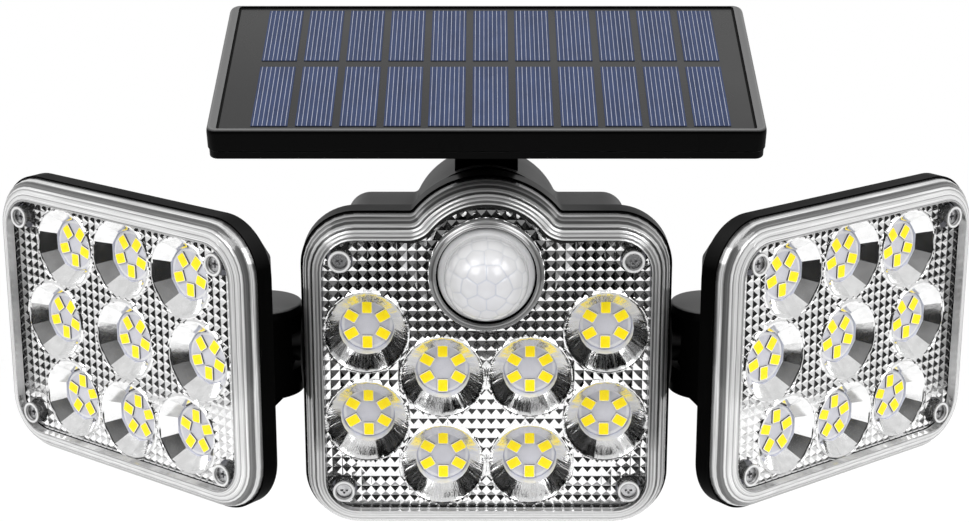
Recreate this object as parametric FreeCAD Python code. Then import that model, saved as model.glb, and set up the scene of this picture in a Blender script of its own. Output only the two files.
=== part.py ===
import FreeCAD, Part
import math
import os

# Three-head solar security light. Millimetres. The wall is the plane y = 0, the light faces -Y and
# z = 0 is the middle of the four wall holes. Every depth is counted from the wall towards -Y.

V = FreeCAD.Vector
X_AXIS = V(1, 0, 0)
Z_AXIS = V(0, 0, 1)

# --- clearances ---
RUNNING = 0.05          # radial, pin or shaft in its bore
SLIDE = 0.08            # radial, button in its hole
GAP = 0.3               # free air between pieces that don't touch
FIT = 0.2               # moulded piece in its seat
EASY = 0.1              # screw through a clearance hole, board in its pocket
LEAST_CORNER = 0.5      # smallest corner of an outline, however far inset

# --- LED packages and the round lamp cups ---
CHIP_WIDTH = 2.8
CHIP_LENGTH = 3.5
CHIP_HEIGHT = 0.8
BOARD_THICK = 1.6
CUP_WALL = 1.0
REFLECTOR_FIT = 0.2     # reflector's edge inside the window's edge
BOARD_SHELF = 0.6       # LED board's edge outside the window's edge

# --- clear covers ---
COVER_WALL = 1.6
RIM_WIDTH = 5.2         # sloping border round the flat window
RIM_BENDS = ((0.5, 0.36), (2.2, 0.73))      # inset, and share of the rim's depth, of its soft bends
RIM_WALL = 1.3          # thickness of the sloping border, measured inwards
TONGUE_INSET = 0.8
TONGUE_WIDTH = 1.4
TONGUE_DEPTH = 2.2
GASKET_THICK = 1.0
COVER_BOSS_R = 2.9
SCREW_HEAD_R = 1.9
SCREW_HEAD_H = 1.4
SCREW_SUNK = 0.9        # head below the window face
SCREW_R = 1.0
SCREW_SLOT = 0.6
SCREW_SLOT_DEPTH = 0.7
POST_R = 2.6
POST_SHORT = 2.5        # post's end behind the reflector's face

# --- centre head, as seen from the front ---
HEAD_WIDTH = 92.0
HEAD_HEIGHT = 82.2
HEAD_CORNER = 13.6
ARCH_R = 23.1
ARCH_VALLEY = 1.6       # hollow fillet where the arch meets the shoulder
LIP = 0.4               # black edge outside the clear cover
PIR_Z = 27.1            # axis of the sensor dome and of the arch
LED_PLANE = 34.0        # wall to the LED faces
HEAD_CUP_DEPTH = 6.5
HEAD_CUP_FLOOR_R = 6.75
HEAD_CUP_RIM_R = 10.4
HEAD_RIM_DEPTH = 7.5    # window face in front of the cover's edge
WINDOW_GAP = 0.9        # reflector face to the window
OUTER_CUP_INSET = 15.9  # outer cups' axes from the head's sides
INNER_CUP_X = 11.1
OUTER_CUP_Z = 11.3
INNER_CUP_Z = -0.4
CUP_ROW_PITCH = 23.5
HEAD_RING_R = 4.62
HEAD_SCREW_INSET = 9.8  # cover screws from the head's sides
HEAD_SCREW_DROP = 10.7  # and from its top and bottom
HEAD_SCREW_LENGTH = 9.5
HEAD_RING_COUNT = 6
TRAY_DEPTH = 6.0
TRAY_FLOOR = 2.1
TRAY_WALL_INSET = 4.2
SHELL_WALL = 2.2

# --- rear box behind the centre head ---
BOX_TOP = 39.3
BOX_BOTTOM = -33.0
BOX_CORNER = 6.0
TOWER_Z = 31.8
TOWER_R = 19.35
BOX_BACK = 8.0          # wall to the back cover's outer face
BACK_COVER = 2.5
BACK_LIP = 0.6
BACK_LIP_DEPTH = 1.0
FLOOR_OPENING = (24.0, 16.0)
LID_SCREW_INSET = 5.0   # from the box's sides
LID_SCREW_TOP = 33.5
LID_SCREW_BOTTOM = -28.0
LID_SCREW_R = 1.2
LID_SCREW_HEAD_R = 2.4
LID_SCREW_HEAD_H = 1.4
LID_SCREW_LENGTH = 9.0
LID_POST_R = 2.5
LID_SCREW_SLOT = 0.7
BORE_BOTTOM = 2.0       # solid plastic left under a blind screw hole

# --- motion sensor ---
PIR_FLANGE_R = 12.0
PIR_FLANGE_H = 1.0
PIR_DOME_R = 10.7
PIR_DOME_NECK = 2.2
PIR_WALL = 0.8
PIR_SEAT_R = 12.4
PIR_SEAT_PROUD = 0.4    # black ring in front of the window
PIR_COLLAR_R = 14.35
PIR_COLLAR_H = 1.8
PIR_SEAT_WALL = 1.5
SENSOR_BOARD_THICK = 1.2
SENSOR_CAN_R = 4.6
SENSOR_CAN_H = 4.2
SENSOR_LEDGE = 1.4
SENSOR_BOARD_BACK = 2.4 # reflector's face to the back of the sensor's board
SENSOR_WINDOW = (3.0, 4.0)
SENSOR_WINDOW_DEPTH = 0.3

# --- side heads, in their own frame: LED faces at y = 0, facing -Y ---
SIDE_WIDTH = 91.2
SIDE_HEIGHT = 73.6
SIDE_CUP_DEPTH = 3.5
SIDE_CUP_FLOOR_R = 6.6
SIDE_CUP_RIM_R = 9.9
SIDE_RIM_DEPTH = 4.5
SIDE_CORNER_CUP = (21.1, 20.4)
SIDE_MIDDLE_ROW_X = 26.3
SIDE_MIDDLE_COLUMN_Z = 21.3
SIDE_RING_R = 3.97
SIDE_SCREW_INSET = 10.3
SIDE_SCREW_DROP = 10.0
SIDE_SCREW_LENGTH = 10.0
SIDE_RING_COUNT = 5
SIDE_EDGE_DEPTH = 4.4   # straight part of the black shell, from its front edge
SIDE_SHOULDER_DEPTH = 9.0
SIDE_SHELL_DEPTH = 16.9
SIDE_SHOULDER_INSET = 4.2
SIDE_BACK_INSET = 12.0
SIDE_WALL = 2.0
SIDE_POST_SHORT = 1.5

# --- side head hinges: a level shaft into the housing and an upright drum on the head ---
SIDE_YAW = 38.0         # outward turn of each side head at rest
HINGE_OUT = 11.7        # upright hinge axis outside the centre head's side
HINGE_DEPTH = 25.0
HINGE_Z = 3.0
HEAD_OUT = 31.3         # side head's centre outside its hinge axis
HEAD_CENTRE_Z = 8.0
DRUM_R = 10.4
DRUM_HEIGHT = 23.2
DRUM_WALL = 2.2
DRUM_FLOOR = 2.4
DRUM_CAP = 2.3
SHAFT_R = 4.2
SHAFT_NUT_R = 6.0
SHAFT_NUT_H = 3.0
SHAFT_END = 1.0
WASHER_R = 10.0
WASHER_H = 0.4
DRUM_CAP_ROUND = 0.5
SWIVEL_PIN_R = 2.0
SWIVEL_PIN_SEAT = 1.4   # pin's end in the drum's floor and in its cap
SWIVEL_IN = 5.0         # degrees the head turns inwards from rest
SWIVEL_OUT = 45.0
WEB_WIDTH = 17.0
WEB_DROP = 4.9          # how far the web's lower edge falls towards the head
WEB_ROOT = 0.5          # web's end inside the shell's wall

# --- solar panel, built in the frame of its hinge ---
PANEL_WIDTH = 130.8
PANEL_LENGTH = 59.2
PANEL_THICK = 8.0
PANEL_CORNER = 2.5
PANEL_TILT = 20.4       # front edge down, at rest
PANEL_FORWARD = 6.9     # panel centre in front of the hinge, along the panel
PANEL_RISE = 10.7       # hinge to the panel's underside
PANEL_RIM_SIDE = 2.4
PANEL_RIM_END = 1.1
PANEL_BACK = 1.9
PANEL_BACK_INSET = 0.3
PANEL_LEDGE = 2.0
PANEL_POCKET = 1.7
PANEL_BOARD = 1.2
CELL_THICK = 0.2
CELL_COLUMNS = 11
CELL_WIDTH = 8.6
CELL_GAP = 1.75
CELL_FRONT_ROW = 26.4
CELL_BACK_ROW = 24.4
CELL_ROW_GAP = 3.0
CELL_FRONT_MARGIN = 2.7
CELL_FIELD_X = 1.0      # the cells sit a little off the panel's middle
PANEL_HINGE_DEPTH = 20.0
PANEL_HINGE_Z = 62.5
KNUCKLE_R = 6.0
NECK_WIDTH = 15.8
NECK_FRONT = 7.0        # foot in front of the hinge axis
NECK_BACK = 6.0
EAR_THICK = 3.5
HINGE_BOLT_R = 2.0
HINGE_BOLT_HEAD_R = 3.9
HINGE_BOLT_HEAD_H = 2.6
HINGE_NUT_H = 3.0
HINGE_BOLT_END = 0.8
HINGE_SOCKET_R = 1.7
HINGE_SOCKET_DEPTH = 1.8
NECK_SINK = 3.5         # foot's lowest point below the tower's top
NECK_SCREW_R = 1.2
NECK_SCREW_LENGTH = 7.0
NECK_SCREW_HEAD_R = 2.2
NECK_SCREW_HEAD_H = 1.6
NECK_SCREW_SPREAD = 3.6

# --- inside the box ---
CELL_R = 9.2
BATTERY_LENGTH = 65.0
BATTERY_END_GAP = 1.3   # each end of the cell to the box's side wall
BATTERY_Z = -15.5
BATTERY_TIP = 1.5
BATTERY_TIP_R = 3.2
CRADLE_GAP = 2.0        # battery rib to the switch's board beside it
CRADLE_THICK = 2.0
DRIVER_WIDTH = 44.0
DRIVER_HEIGHT = 22.0
DRIVER_Z = 25.0
DRIVER_STANDOFF = 3.0
DRIVER_POST_R = 2.2
DRIVER_POST_INSET = 3.5
DRIVER_SCREW_BITE = 0.5 # screw's end inside the back cover
COIL = (-8.0, 0.0, 4.0, 4.5)            # x, height from the board's middle, radius, length
CAPACITOR = (9.0, 3.0, 3.0, 7.0)
CONTROL_CHIP = (1.0, -3.0, 5.0, 4.0, 1.6)   # x, height, width, height, thickness

# --- mode button under the box ---
BUTTON_BOARD_GAP = 0.5  # the switch's board to the lid's post beside it
BUTTON_DEPTH = 20.0
BUTTON_R = 4.5
BUTTON_PROUD = 1.6
BUTTON_FLANGE_R = 5.6
BUTTON_FLANGE_H = 0.8
BUTTON_TRAVEL = 1.0
BUTTON_ROUND = 0.6
SWITCH_SIZE = 6.0
SWITCH_HEIGHT = 1.2
SWITCH_BOARD = 1.0
SWITCH_BOARD_WIDTH = 17.0
SWITCH_BOARD_DEPTH = 10.0
SWITCH_RIB = 1.6

# --- wall bracket ---
BRACKET_WIDTH = 60.0
BRACKET_TOP = 25.0
BRACKET_THICK = 2.0
BRACKET_CORNER = 5.0
WALL_HOLE_R = 2.3
WALL_HOLE_X = 46.0      # spacing
WALL_HOLE_Z = 38.0
HOOK_X = 14.0
HOOK_WIDTH = 8.0
HOOK_THICK = 3.0
HOOK_TOP = 4.5
HOOK_TIP = 4.0
HOOK_TIP_THICK = 1.7
HOOK_SIDE_PLAY = 0.5
HOOK_DROP_PLAY = 1.0
TAB_WIDTH = 14.0
TAB_LENGTH = 19.0
LOCK_SCREW_R = 1.5
LOCK_SCREW_DEPTH = 15.0
LOCK_SCREW_HEAD_R = 2.8
LOCK_SCREW_HEAD_H = 1.8
LOCK_BOSS_R = 2.8
LOCK_BOSS_H = 2.6
LOCK_SCREW_SHORT = 0.4
LOCK_SLOT = 0.8
MIRRORED_PAIR = (-1, 1)

# --- places that follow from the sizes above; y is negative towards the viewer ---
OUTER_CUP_X = HEAD_WIDTH / 2 - OUTER_CUP_INSET
HEAD_SCREW_X = HEAD_WIDTH / 2 - HEAD_SCREW_INSET
HEAD_SCREW_Z = HEAD_HEIGHT / 2 - HEAD_SCREW_DROP
SIDE_SCREW_X = SIDE_WIDTH / 2 - SIDE_SCREW_INSET
SIDE_SCREW_Z = SIDE_HEIGHT / 2 - SIDE_SCREW_DROP
HINGE_X = HEAD_WIDTH / 2 + HINGE_OUT
HEAD_CENTRE_X = HINGE_X + HEAD_OUT
BOX_WIDTH = BATTERY_LENGTH + 2 * (BATTERY_END_GAP + SHELL_WALL)
LID_SCREW_X = BOX_WIDTH / 2 - LID_SCREW_INSET
BUTTON_X = LID_SCREW_X - LID_POST_R - BUTTON_BOARD_GAP - SWITCH_BOARD_WIDTH / 2
CRADLE_X = BUTTON_X - SWITCH_BOARD_WIDTH / 2 - CRADLE_GAP - CRADLE_THICK / 2
TRAY_FRONT = -(LED_PLANE + HEAD_CUP_DEPTH + WINDOW_GAP + COVER_WALL - HEAD_RIM_DEPTH)
TRAY_BACK = TRAY_FRONT + TRAY_DEPTH
REFLECTOR_Y = -(LED_PLANE + HEAD_CUP_DEPTH)
HEAD_BOARD_Y = -LED_PLANE + CHIP_HEIGHT
LID_Y = -(BOX_BACK + BACK_COVER)
HINGE_Y = -HINGE_DEPTH
BOSS_X = HEAD_WIDTH / 2 + LIP + FIT
BOX_INNER_X = BOX_WIDTH / 2 - SHELL_WALL
SIDE_TRAY_Y = -(SIDE_CUP_DEPTH + WINDOW_GAP + COVER_WALL - SIDE_RIM_DEPTH)
SIDE_POST_Y = -SIDE_CUP_DEPTH + SIDE_POST_SHORT
HEAD_SCREWS = [(sx * HEAD_SCREW_X, sz * HEAD_SCREW_Z) for sx in MIRRORED_PAIR for sz in MIRRORED_PAIR]
SIDE_SCREWS = [(sx * SIDE_SCREW_X, sz * SIDE_SCREW_Z) for sx in MIRRORED_PAIR for sz in MIRRORED_PAIR]


def box(x0, x1, y0, y1, z0, z1):
    return Part.makeBox(x1 - x0, y1 - y0, z1 - z0, V(x0, y0, z0))


def rod_x(r, x0, x1, y, z):
    return Part.makeCylinder(r, x1 - x0, V(x0, y, z), X_AXIS)


def rod_y(r, y0, y1, x, z):
    return Part.makeCylinder(r, y1 - y0, V(x, y0, z), V(0, 1, 0))


def rod_z(r, z0, z1, x, y):
    return Part.makeCylinder(r, z1 - z0, V(x, y, z0), Z_AXIS)


def join(shapes):
    first = shapes[0]
    return first.multiFuse(shapes[1:]).removeSplitter()


def line(a, b):
    return Part.LineSegment(a, b).toShape()


class Outline:
    """A rounded rectangle seen from the front, with or without a round arch on its top edge."""

    def __init__(self, width, bottom, top, corner, arch=None):
        self.half = width / 2
        self.bottom = bottom
        self.top = top
        self.corner = corner
        self.arch = arch        # (height of the arch's centre, radius)

    def arc(self, cx, cz, r, start, end, y):
        angles = [math.radians(a) for a in (start, (start + end) / 2, end)]
        points = [V(cx + r * math.cos(a), y, cz + r * math.sin(a)) for a in angles]
        return Part.Arc(*points).toShape()

    def arch_edges(self, top, inset, y):
        centre, radius = self.arch
        radius -= inset
        valley = ARCH_VALLEY + inset
        rise = top + valley - centre
        reach = math.sqrt((radius + valley) ** 2 - rise ** 2)
        turn = math.degrees(math.atan2(rise, reach))
        right = self.arc(reach, top + valley, valley, 270, 180 + turn, y)
        crown = self.arc(0, centre, radius, turn, 180 - turn, y)
        left = self.arc(-reach, top + valley, valley, -turn, -90, y)
        return reach, [right, crown, left]

    def wire(self, inset, y):
        w = self.half - inset
        low = self.bottom + inset
        top = self.top - inset
        r = max(self.corner - inset, LEAST_CORNER)
        edges = [line(V(-w + r, y, low), V(w - r, y, low)),
                 self.arc(w - r, low + r, r, -90, 0, y),
                 line(V(w, y, low + r), V(w, y, top - r)),
                 self.arc(w - r, top - r, r, 0, 90, y)]
        if self.arch:
            reach, arch = self.arch_edges(top, inset, y)
            edges += [line(V(w - r, y, top), V(reach, y, top))] + arch
            edges += [line(V(-reach, y, top), V(-w + r, y, top))]
        else:
            edges += [line(V(w - r, y, top), V(-w + r, y, top))]
        edges += [self.arc(-w + r, top - r, r, 90, 180, y),
                  line(V(-w, y, top - r), V(-w, y, low + r)),
                  self.arc(-w + r, low + r, r, 180, 270, y)]
        return Part.Wire(edges)

    def slab(self, inset, y0, y1):
        return Part.Face(self.wire(inset, y0)).extrude(V(0, y1 - y0, 0))

    def ring(self, outer, inner, y0, y1):
        return self.slab(outer, y0, y1).cut(self.slab(inner, y0, y1))

    def loft(self, stations):
        return Part.makeLoft([self.wire(inset, y) for inset, y in stations], True, True)


HEAD = Outline(HEAD_WIDTH, -HEAD_HEIGHT / 2, HEAD_HEIGHT / 2, HEAD_CORNER, (PIR_Z, ARCH_R))
BOX = Outline(BOX_WIDTH, BOX_BOTTOM, BOX_TOP, BOX_CORNER, (TOWER_Z, TOWER_R))
SIDE = Outline(SIDE_WIDTH, -SIDE_HEIGHT / 2, SIDE_HEIGHT / 2, HEAD_CORNER)


def head_cups():
    """Cup centres of the centre head: two outer columns, and two inner columns set lower."""
    cups = []
    for x, z in ((OUTER_CUP_X, OUTER_CUP_Z), (INNER_CUP_X, INNER_CUP_Z)):
        for side in MIRRORED_PAIR:
            cups += [(side * x, z), (side * x, z - CUP_ROW_PITCH)]
    return cups


def side_cups():
    """Cup centres of a side head, row by row from the top, with each ring's first LED angle."""
    cx, cz = SIDE_CORNER_CUP
    top = [(-cx, cz), (0, SIDE_MIDDLE_COLUMN_Z), (cx, cz)]
    middle = [(-SIDE_MIDDLE_ROW_X, 0), (0, 0), (SIDE_MIDDLE_ROW_X, 0)]
    bottom = [(x, -z) for x, z in top]
    return [(x, z, -90) for x, z in top + middle] + [(x, z, 90) for x, z in bottom]


def cover_profile(edge_y, depth):
    """Insets and depths of the sloping rim, from its edge on the housing to the window."""
    bends = [(inset, edge_y - share * depth) for inset, share in RIM_BENDS]
    return [(0, edge_y)] + bends + [(RIM_WIDTH, edge_y - depth)]


def clear_cover(outline, edge_y, depth, screws, post_y):
    face = edge_y - depth
    window_inner = face + COVER_WALL
    outer = cover_profile(edge_y, depth)
    inner = [(inset + RIM_WALL, y) for inset, y in cover_profile(edge_y, depth - COVER_WALL)]
    shell = outline.loft(outer).cut(outline.loft(inner))
    tongue = outline.ring(TONGUE_INSET, TONGUE_INSET + TONGUE_WIDTH, edge_y, edge_y + TONGUE_DEPTH)
    bosses = [rod_y(COVER_BOSS_R, window_inner, post_y, x, z) for x, z in screws]
    cover = join([shell, tongue] + bosses)
    seat = face + SCREW_SUNK + SCREW_HEAD_H
    for x, z in screws:
        cover = cover.cut(rod_y(SCREW_HEAD_R + EASY, face, seat, x, z))
        cover = cover.cut(rod_y(SCREW_R + EASY, seat, post_y, x, z))
    return cover


def cover_screws(screws, face, length):
    """Cross-head screws, sunk in the bosses of a cover."""
    top = face + SCREW_SUNK
    arm = SCREW_HEAD_R / 2
    half = SCREW_SLOT / 2
    group = []
    for x, z in screws:
        head = rod_y(SCREW_HEAD_R, top, top + SCREW_HEAD_H, x, z)
        shank = rod_y(SCREW_R, top + SCREW_HEAD_H, face + length, x, z)
        upright = box(x - half, x + half, top, top + SCREW_SLOT_DEPTH, z - arm, z + arm)
        level = box(x - arm, x + arm, top, top + SCREW_SLOT_DEPTH, z - half, z + half)
        group.append(join([head, shank]).cut(upright).cut(level))
    return Part.Compound(group)


def gasket(outline, edge_y):
    y0 = edge_y + TONGUE_DEPTH
    return outline.ring(TONGUE_INSET, TONGUE_INSET + TONGUE_WIDTH, y0, y0 + GASKET_THICK)


def gasket_groove(outline, edge_y):
    return outline.ring(TONGUE_INSET - FIT, TONGUE_INSET + TONGUE_WIDTH + FIT, edge_y,
                        edge_y + TONGUE_DEPTH + GASKET_THICK)


def led_board(outline, y, inset, screws):
    board = outline.slab(inset, y, y + BOARD_THICK)
    for x, z in screws:
        board = board.cut(rod_y(POST_R + GAP, y, y + BOARD_THICK, x, z))
    return board


def led_ring(cx, cz, radius, count, first, y):
    chips = []
    for i in range(count):
        angle = first + 360.0 * i / count
        chip = box(radius - CHIP_LENGTH / 2, radius + CHIP_LENGTH / 2, y, y + CHIP_HEIGHT,
                   -CHIP_WIDTH / 2, CHIP_WIDTH / 2)
        chip.rotate(V(0, 0, 0), V(0, -1, 0), angle)
        chip.translate(V(cx, 0, cz))
        chips.append(chip)
    return chips


def cup(cx, cz, floor_r, rim_r, floor_y, rim_y):
    """Bowl and the hollow inside it."""
    depth = floor_y - rim_y
    at = V(cx, floor_y, cz)
    hollow = Part.makeCone(floor_r, rim_r, depth, at, V(0, -1, 0))
    bowl = Part.makeCone(floor_r + CUP_WALL, rim_r + CUP_WALL, depth, at, V(0, -1, 0))
    return bowl, hollow


def reflector(outline, inset, cups, floor_r, rim_r, board_y, face_y, screws):
    plate = outline.slab(inset, face_y, face_y + CUP_WALL)
    skirt = outline.ring(inset, inset + CUP_WALL, face_y, board_y)
    solids = [cup(x, z, floor_r, rim_r, board_y, face_y) for x, z in cups]
    limit = outline.slab(inset, face_y, board_y)
    body = join([plate, skirt] + [bowl.common(limit) for bowl, hollow in solids])
    for bowl, hollow in solids:
        body = body.cut(hollow)
    for x, z in screws:
        body = body.cut(rod_y(COVER_BOSS_R + GAP, face_y, board_y, x, z))
    return body


def centre_cover():
    cover = clear_cover(HEAD, TRAY_FRONT, HEAD_RIM_DEPTH, HEAD_SCREWS, REFLECTOR_Y + POST_SHORT)
    face = TRAY_FRONT - HEAD_RIM_DEPTH
    collar = rod_y(PIR_COLLAR_R, face - PIR_COLLAR_H, face + COVER_WALL, 0, PIR_Z)
    hole = rod_y(PIR_SEAT_R + RUNNING, face - PIR_COLLAR_H, face + COVER_WALL, 0, PIR_Z)
    return join([cover, collar]).cut(hole)


def centre_reflector():
    body = reflector(HEAD, RIM_WIDTH + REFLECTOR_FIT, head_cups(), HEAD_CUP_FLOOR_R, HEAD_CUP_RIM_R,
                     HEAD_BOARD_Y, REFLECTOR_Y, HEAD_SCREWS)
    return body.cut(rod_y(PIR_SEAT_R + GAP, REFLECTOR_Y, HEAD_BOARD_Y, 0, PIR_Z))


def centre_leds():
    chips = []
    for x, z in head_cups():
        chips += led_ring(x, z, HEAD_RING_R, HEAD_RING_COUNT, 90, -LED_PLANE)
    return Part.Compound(chips)


def rear_housing():
    """Tray for the lamp, box and tower behind it, and the side bosses, as one moulding."""
    tray = HEAD.slab(-LIP, TRAY_FRONT, TRAY_BACK)
    shell = BOX.slab(0, TRAY_BACK, LID_Y)
    bosses = [rod_x(WASHER_R, BOX_INNER_X, BOSS_X, HINGE_Y, HINGE_Z),
              rod_x(WASHER_R, -BOSS_X, -BOX_INNER_X, HINGE_Y, HINGE_Z)]
    body = join([tray, shell] + bosses)
    body = body.cut(HEAD.slab(TRAY_WALL_INSET, TRAY_FRONT, TRAY_BACK - TRAY_FLOOR))
    body = body.cut(gasket_groove(HEAD, TRAY_FRONT))
    body = body.cut(BOX.slab(SHELL_WALL, TRAY_BACK, LID_Y))
    width, height = FLOOR_OPENING
    body = body.cut(box(-width / 2, width / 2, TRAY_FRONT, TRAY_BACK, -height / 2, height / 2))
    for pocket in nut_pockets():
        body = body.cut(pocket)
    body = join([body, lock_boss()] + cover_posts() + lid_posts() + battery_cradles() + switch_ribs())
    for hole in housing_holes():
        body = body.cut(hole)
    return body


def nut_pockets():
    """Room in the tray's floor for the two nuts that hold the arms."""
    reach = SHAFT_NUT_R + 2 * GAP
    x0 = BOX_INNER_X - SHAFT_NUT_H - SHAFT_END - GAP
    return [box(a, b, TRAY_BACK - TRAY_FLOOR, TRAY_BACK, HINGE_Z - reach, HINGE_Z + reach)
            for a, b in ((x0, BOX_INNER_X), (-BOX_INNER_X, -x0))]


def cover_posts():
    return [rod_y(POST_R, REFLECTOR_Y + POST_SHORT, TRAY_BACK, x, z) for x, z in HEAD_SCREWS]


def lid_posts():
    end = LID_Y - BACK_LIP_DEPTH - FIT
    return [rod_y(LID_POST_R, TRAY_BACK, end, x, z) for x, z in lid_screw_places()]


def lock_boss():
    top = BOX_BOTTOM + SHELL_WALL + LOCK_BOSS_H
    return rod_z(LOCK_BOSS_R, BOX_BOTTOM, top, 0, -LOCK_SCREW_DEPTH)


def battery_cradles():
    """Two ribs on the box's floor, hollowed to the cell."""
    cell = rod_x(CELL_R + RUNNING, -BOX_WIDTH / 2, BOX_WIDTH / 2, battery_y(), BATTERY_Z)
    end = LID_Y - BACK_LIP_DEPTH - FIT
    ribs = []
    for side in MIRRORED_PAIR:
        x0 = side * CRADLE_X - CRADLE_THICK / 2
        rib = box(x0, x0 + CRADLE_THICK, TRAY_BACK, end, BOX_BOTTOM + SHELL_WALL, BATTERY_Z)
        ribs += rib.cut(cell).Solids
    return ribs


def battery_y():
    return (TRAY_BACK + LID_Y) / 2


def housing_holes():
    """Screw holes, shaft bores and the button's hole."""
    holes = [rod_y(SCREW_R + RUNNING, REFLECTOR_Y + POST_SHORT, TRAY_BACK - BORE_BOTTOM / 2, x, z)
             for x, z in HEAD_SCREWS]
    holes += [rod_y(LID_SCREW_R + RUNNING, TRAY_BACK + BORE_BOTTOM, LID_Y, x, z)
              for x, z in lid_screw_places()]
    holes += [rod_x(SHAFT_R + RUNNING, x0, x1, HINGE_Y, HINGE_Z)
              for x0, x1 in ((BOX_INNER_X, BOSS_X), (-BOSS_X, -BOX_INNER_X))]
    holes += [rod_z(NECK_SCREW_R + RUNNING, TOWER_Z, TOWER_Z + TOWER_R, 0, y)
              for y in neck_screw_places()]
    inner_floor = BOX_BOTTOM + SHELL_WALL
    holes.append(rod_z(BUTTON_R + SLIDE, BOX_BOTTOM, inner_floor, BUTTON_X, -BUTTON_DEPTH))
    holes.append(rod_z(LOCK_SCREW_R + RUNNING, BOX_BOTTOM, inner_floor + LOCK_BOSS_H, 0,
                       -LOCK_SCREW_DEPTH))
    return holes


def lid_screw_places():
    return [(sx * LID_SCREW_X, z) for sx in MIRRORED_PAIR for z in (LID_SCREW_BOTTOM, LID_SCREW_TOP)]


def neck_screw_places():
    return [-PANEL_HINGE_DEPTH - NECK_SCREW_SPREAD, -PANEL_HINGE_DEPTH + NECK_SCREW_SPREAD]


def switch_ribs():
    half = SWITCH_BOARD_WIDTH / 2
    floor = BOX_BOTTOM + SHELL_WALL
    top = switch_board_z()
    y0 = -BUTTON_DEPTH - SWITCH_BOARD_DEPTH / 2
    y1 = -BUTTON_DEPTH + SWITCH_BOARD_DEPTH / 2
    return [box(BUTTON_X - half, BUTTON_X - half + SWITCH_RIB, y0, y1, floor, top),
            box(BUTTON_X + half - SWITCH_RIB, BUTTON_X + half, y0, y1, floor, top)]


def switch_board_z():
    """Underside of the switch's board, clear of the button by its travel."""
    return BOX_BOTTOM + SHELL_WALL + BUTTON_FLANGE_H + BUTTON_TRAVEL + EASY + SWITCH_HEIGHT


def back_cover():
    plate = BOX.slab(0, LID_Y, -BOX_BACK)
    lip = BOX.ring(SHELL_WALL + FIT, SHELL_WALL + FIT + BACK_LIP, LID_Y - BACK_LIP_DEPTH, LID_Y)
    posts = []
    for x, z in driver_post_places():
        posts.append(rod_y(DRIVER_POST_R, LID_Y - DRIVER_STANDOFF, LID_Y, x, z))
    cover = join([plate, lip] + posts)
    slot_bottom = HOOK_TOP - HOOK_THICK - HOOK_TIP - HOOK_DROP_PLAY
    reach = HOOK_WIDTH / 2 + HOOK_SIDE_PLAY
    for side in MIRRORED_PAIR:
        middle = side * HOOK_X
        cover = cover.cut(box(middle - reach, middle + reach, LID_Y, -BOX_BACK, slot_bottom, HOOK_TOP))
    for x, z in lid_screw_places():
        cover = cover.cut(rod_y(LID_SCREW_HEAD_R + EASY, -BOX_BACK - LID_SCREW_HEAD_H, -BOX_BACK, x, z))
        cover = cover.cut(rod_y(LID_POST_R + GAP, LID_Y - BACK_LIP_DEPTH, LID_Y, x, z))
        cover = cover.cut(rod_y(LID_SCREW_R + EASY, LID_Y, -BOX_BACK, x, z))
    for x, z in driver_post_places():
        bore_end = LID_Y + 2 * DRIVER_SCREW_BITE
        cover = cover.cut(rod_y(SCREW_R + RUNNING, LID_Y - DRIVER_STANDOFF, bore_end, x, z))
    return cover


def back_cover_screws():
    group = []
    seat = -BOX_BACK - LID_SCREW_HEAD_H
    half = LID_SCREW_SLOT / 2
    for x, z in lid_screw_places():
        head = rod_y(LID_SCREW_HEAD_R, seat, -BOX_BACK, x, z)
        shank = rod_y(LID_SCREW_R, -BOX_BACK - LID_SCREW_LENGTH, seat, x, z)
        slot = box(x - half, x + half, -BOX_BACK - LID_SCREW_SLOT, -BOX_BACK,
                   z - LID_SCREW_HEAD_R, z + LID_SCREW_HEAD_R)
        group.append(join([head, shank]).cut(slot))
    return Part.Compound(group)


def driver_post_places():
    dx = DRIVER_WIDTH / 2 - DRIVER_POST_INSET
    dz = DRIVER_HEIGHT / 2 - DRIVER_POST_INSET
    return [(sx * dx, DRIVER_Z + sz * dz) for sx in MIRRORED_PAIR for sz in MIRRORED_PAIR]


def driver_board():
    y1 = LID_Y - DRIVER_STANDOFF
    half_w = DRIVER_WIDTH / 2
    half_h = DRIVER_HEIGHT / 2
    board = box(-half_w, half_w, y1 - BOARD_THICK, y1, DRIVER_Z - half_h, DRIVER_Z + half_h)
    for x, z in driver_post_places():
        board = board.cut(rod_y(SCREW_R + RUNNING, y1 - BOARD_THICK, y1, x, z))
    return board


def driver_screws():
    y1 = LID_Y - DRIVER_STANDOFF - BOARD_THICK
    group = []
    for x, z in driver_post_places():
        head = rod_y(SCREW_HEAD_R, y1 - SCREW_HEAD_H, y1, x, z)
        group.append(join([head, rod_y(SCREW_R, y1, LID_Y + DRIVER_SCREW_BITE, x, z)]))
    return Part.Compound(group)


def driver_parts():
    """Coil, capacitor and control chip on the driver board."""
    y1 = LID_Y - DRIVER_STANDOFF - BOARD_THICK
    cans = [rod_y(r, y1 - length, y1, x, DRIVER_Z + up) for x, up, r, length in (COIL, CAPACITOR)]
    x, up, width, height, thick = CONTROL_CHIP
    middle = DRIVER_Z + up
    chip = box(x - width / 2, x + width / 2, y1 - thick, y1, middle - height / 2, middle + height / 2)
    return Part.Compound(cans + [chip])


def battery_cell():
    half = BATTERY_LENGTH / 2
    can = rod_x(CELL_R, -half, half - BATTERY_TIP, battery_y(), BATTERY_Z)
    tip = rod_x(BATTERY_TIP_R, half - BATTERY_TIP, half, battery_y(), BATTERY_Z)
    return join([can, tip])


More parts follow.
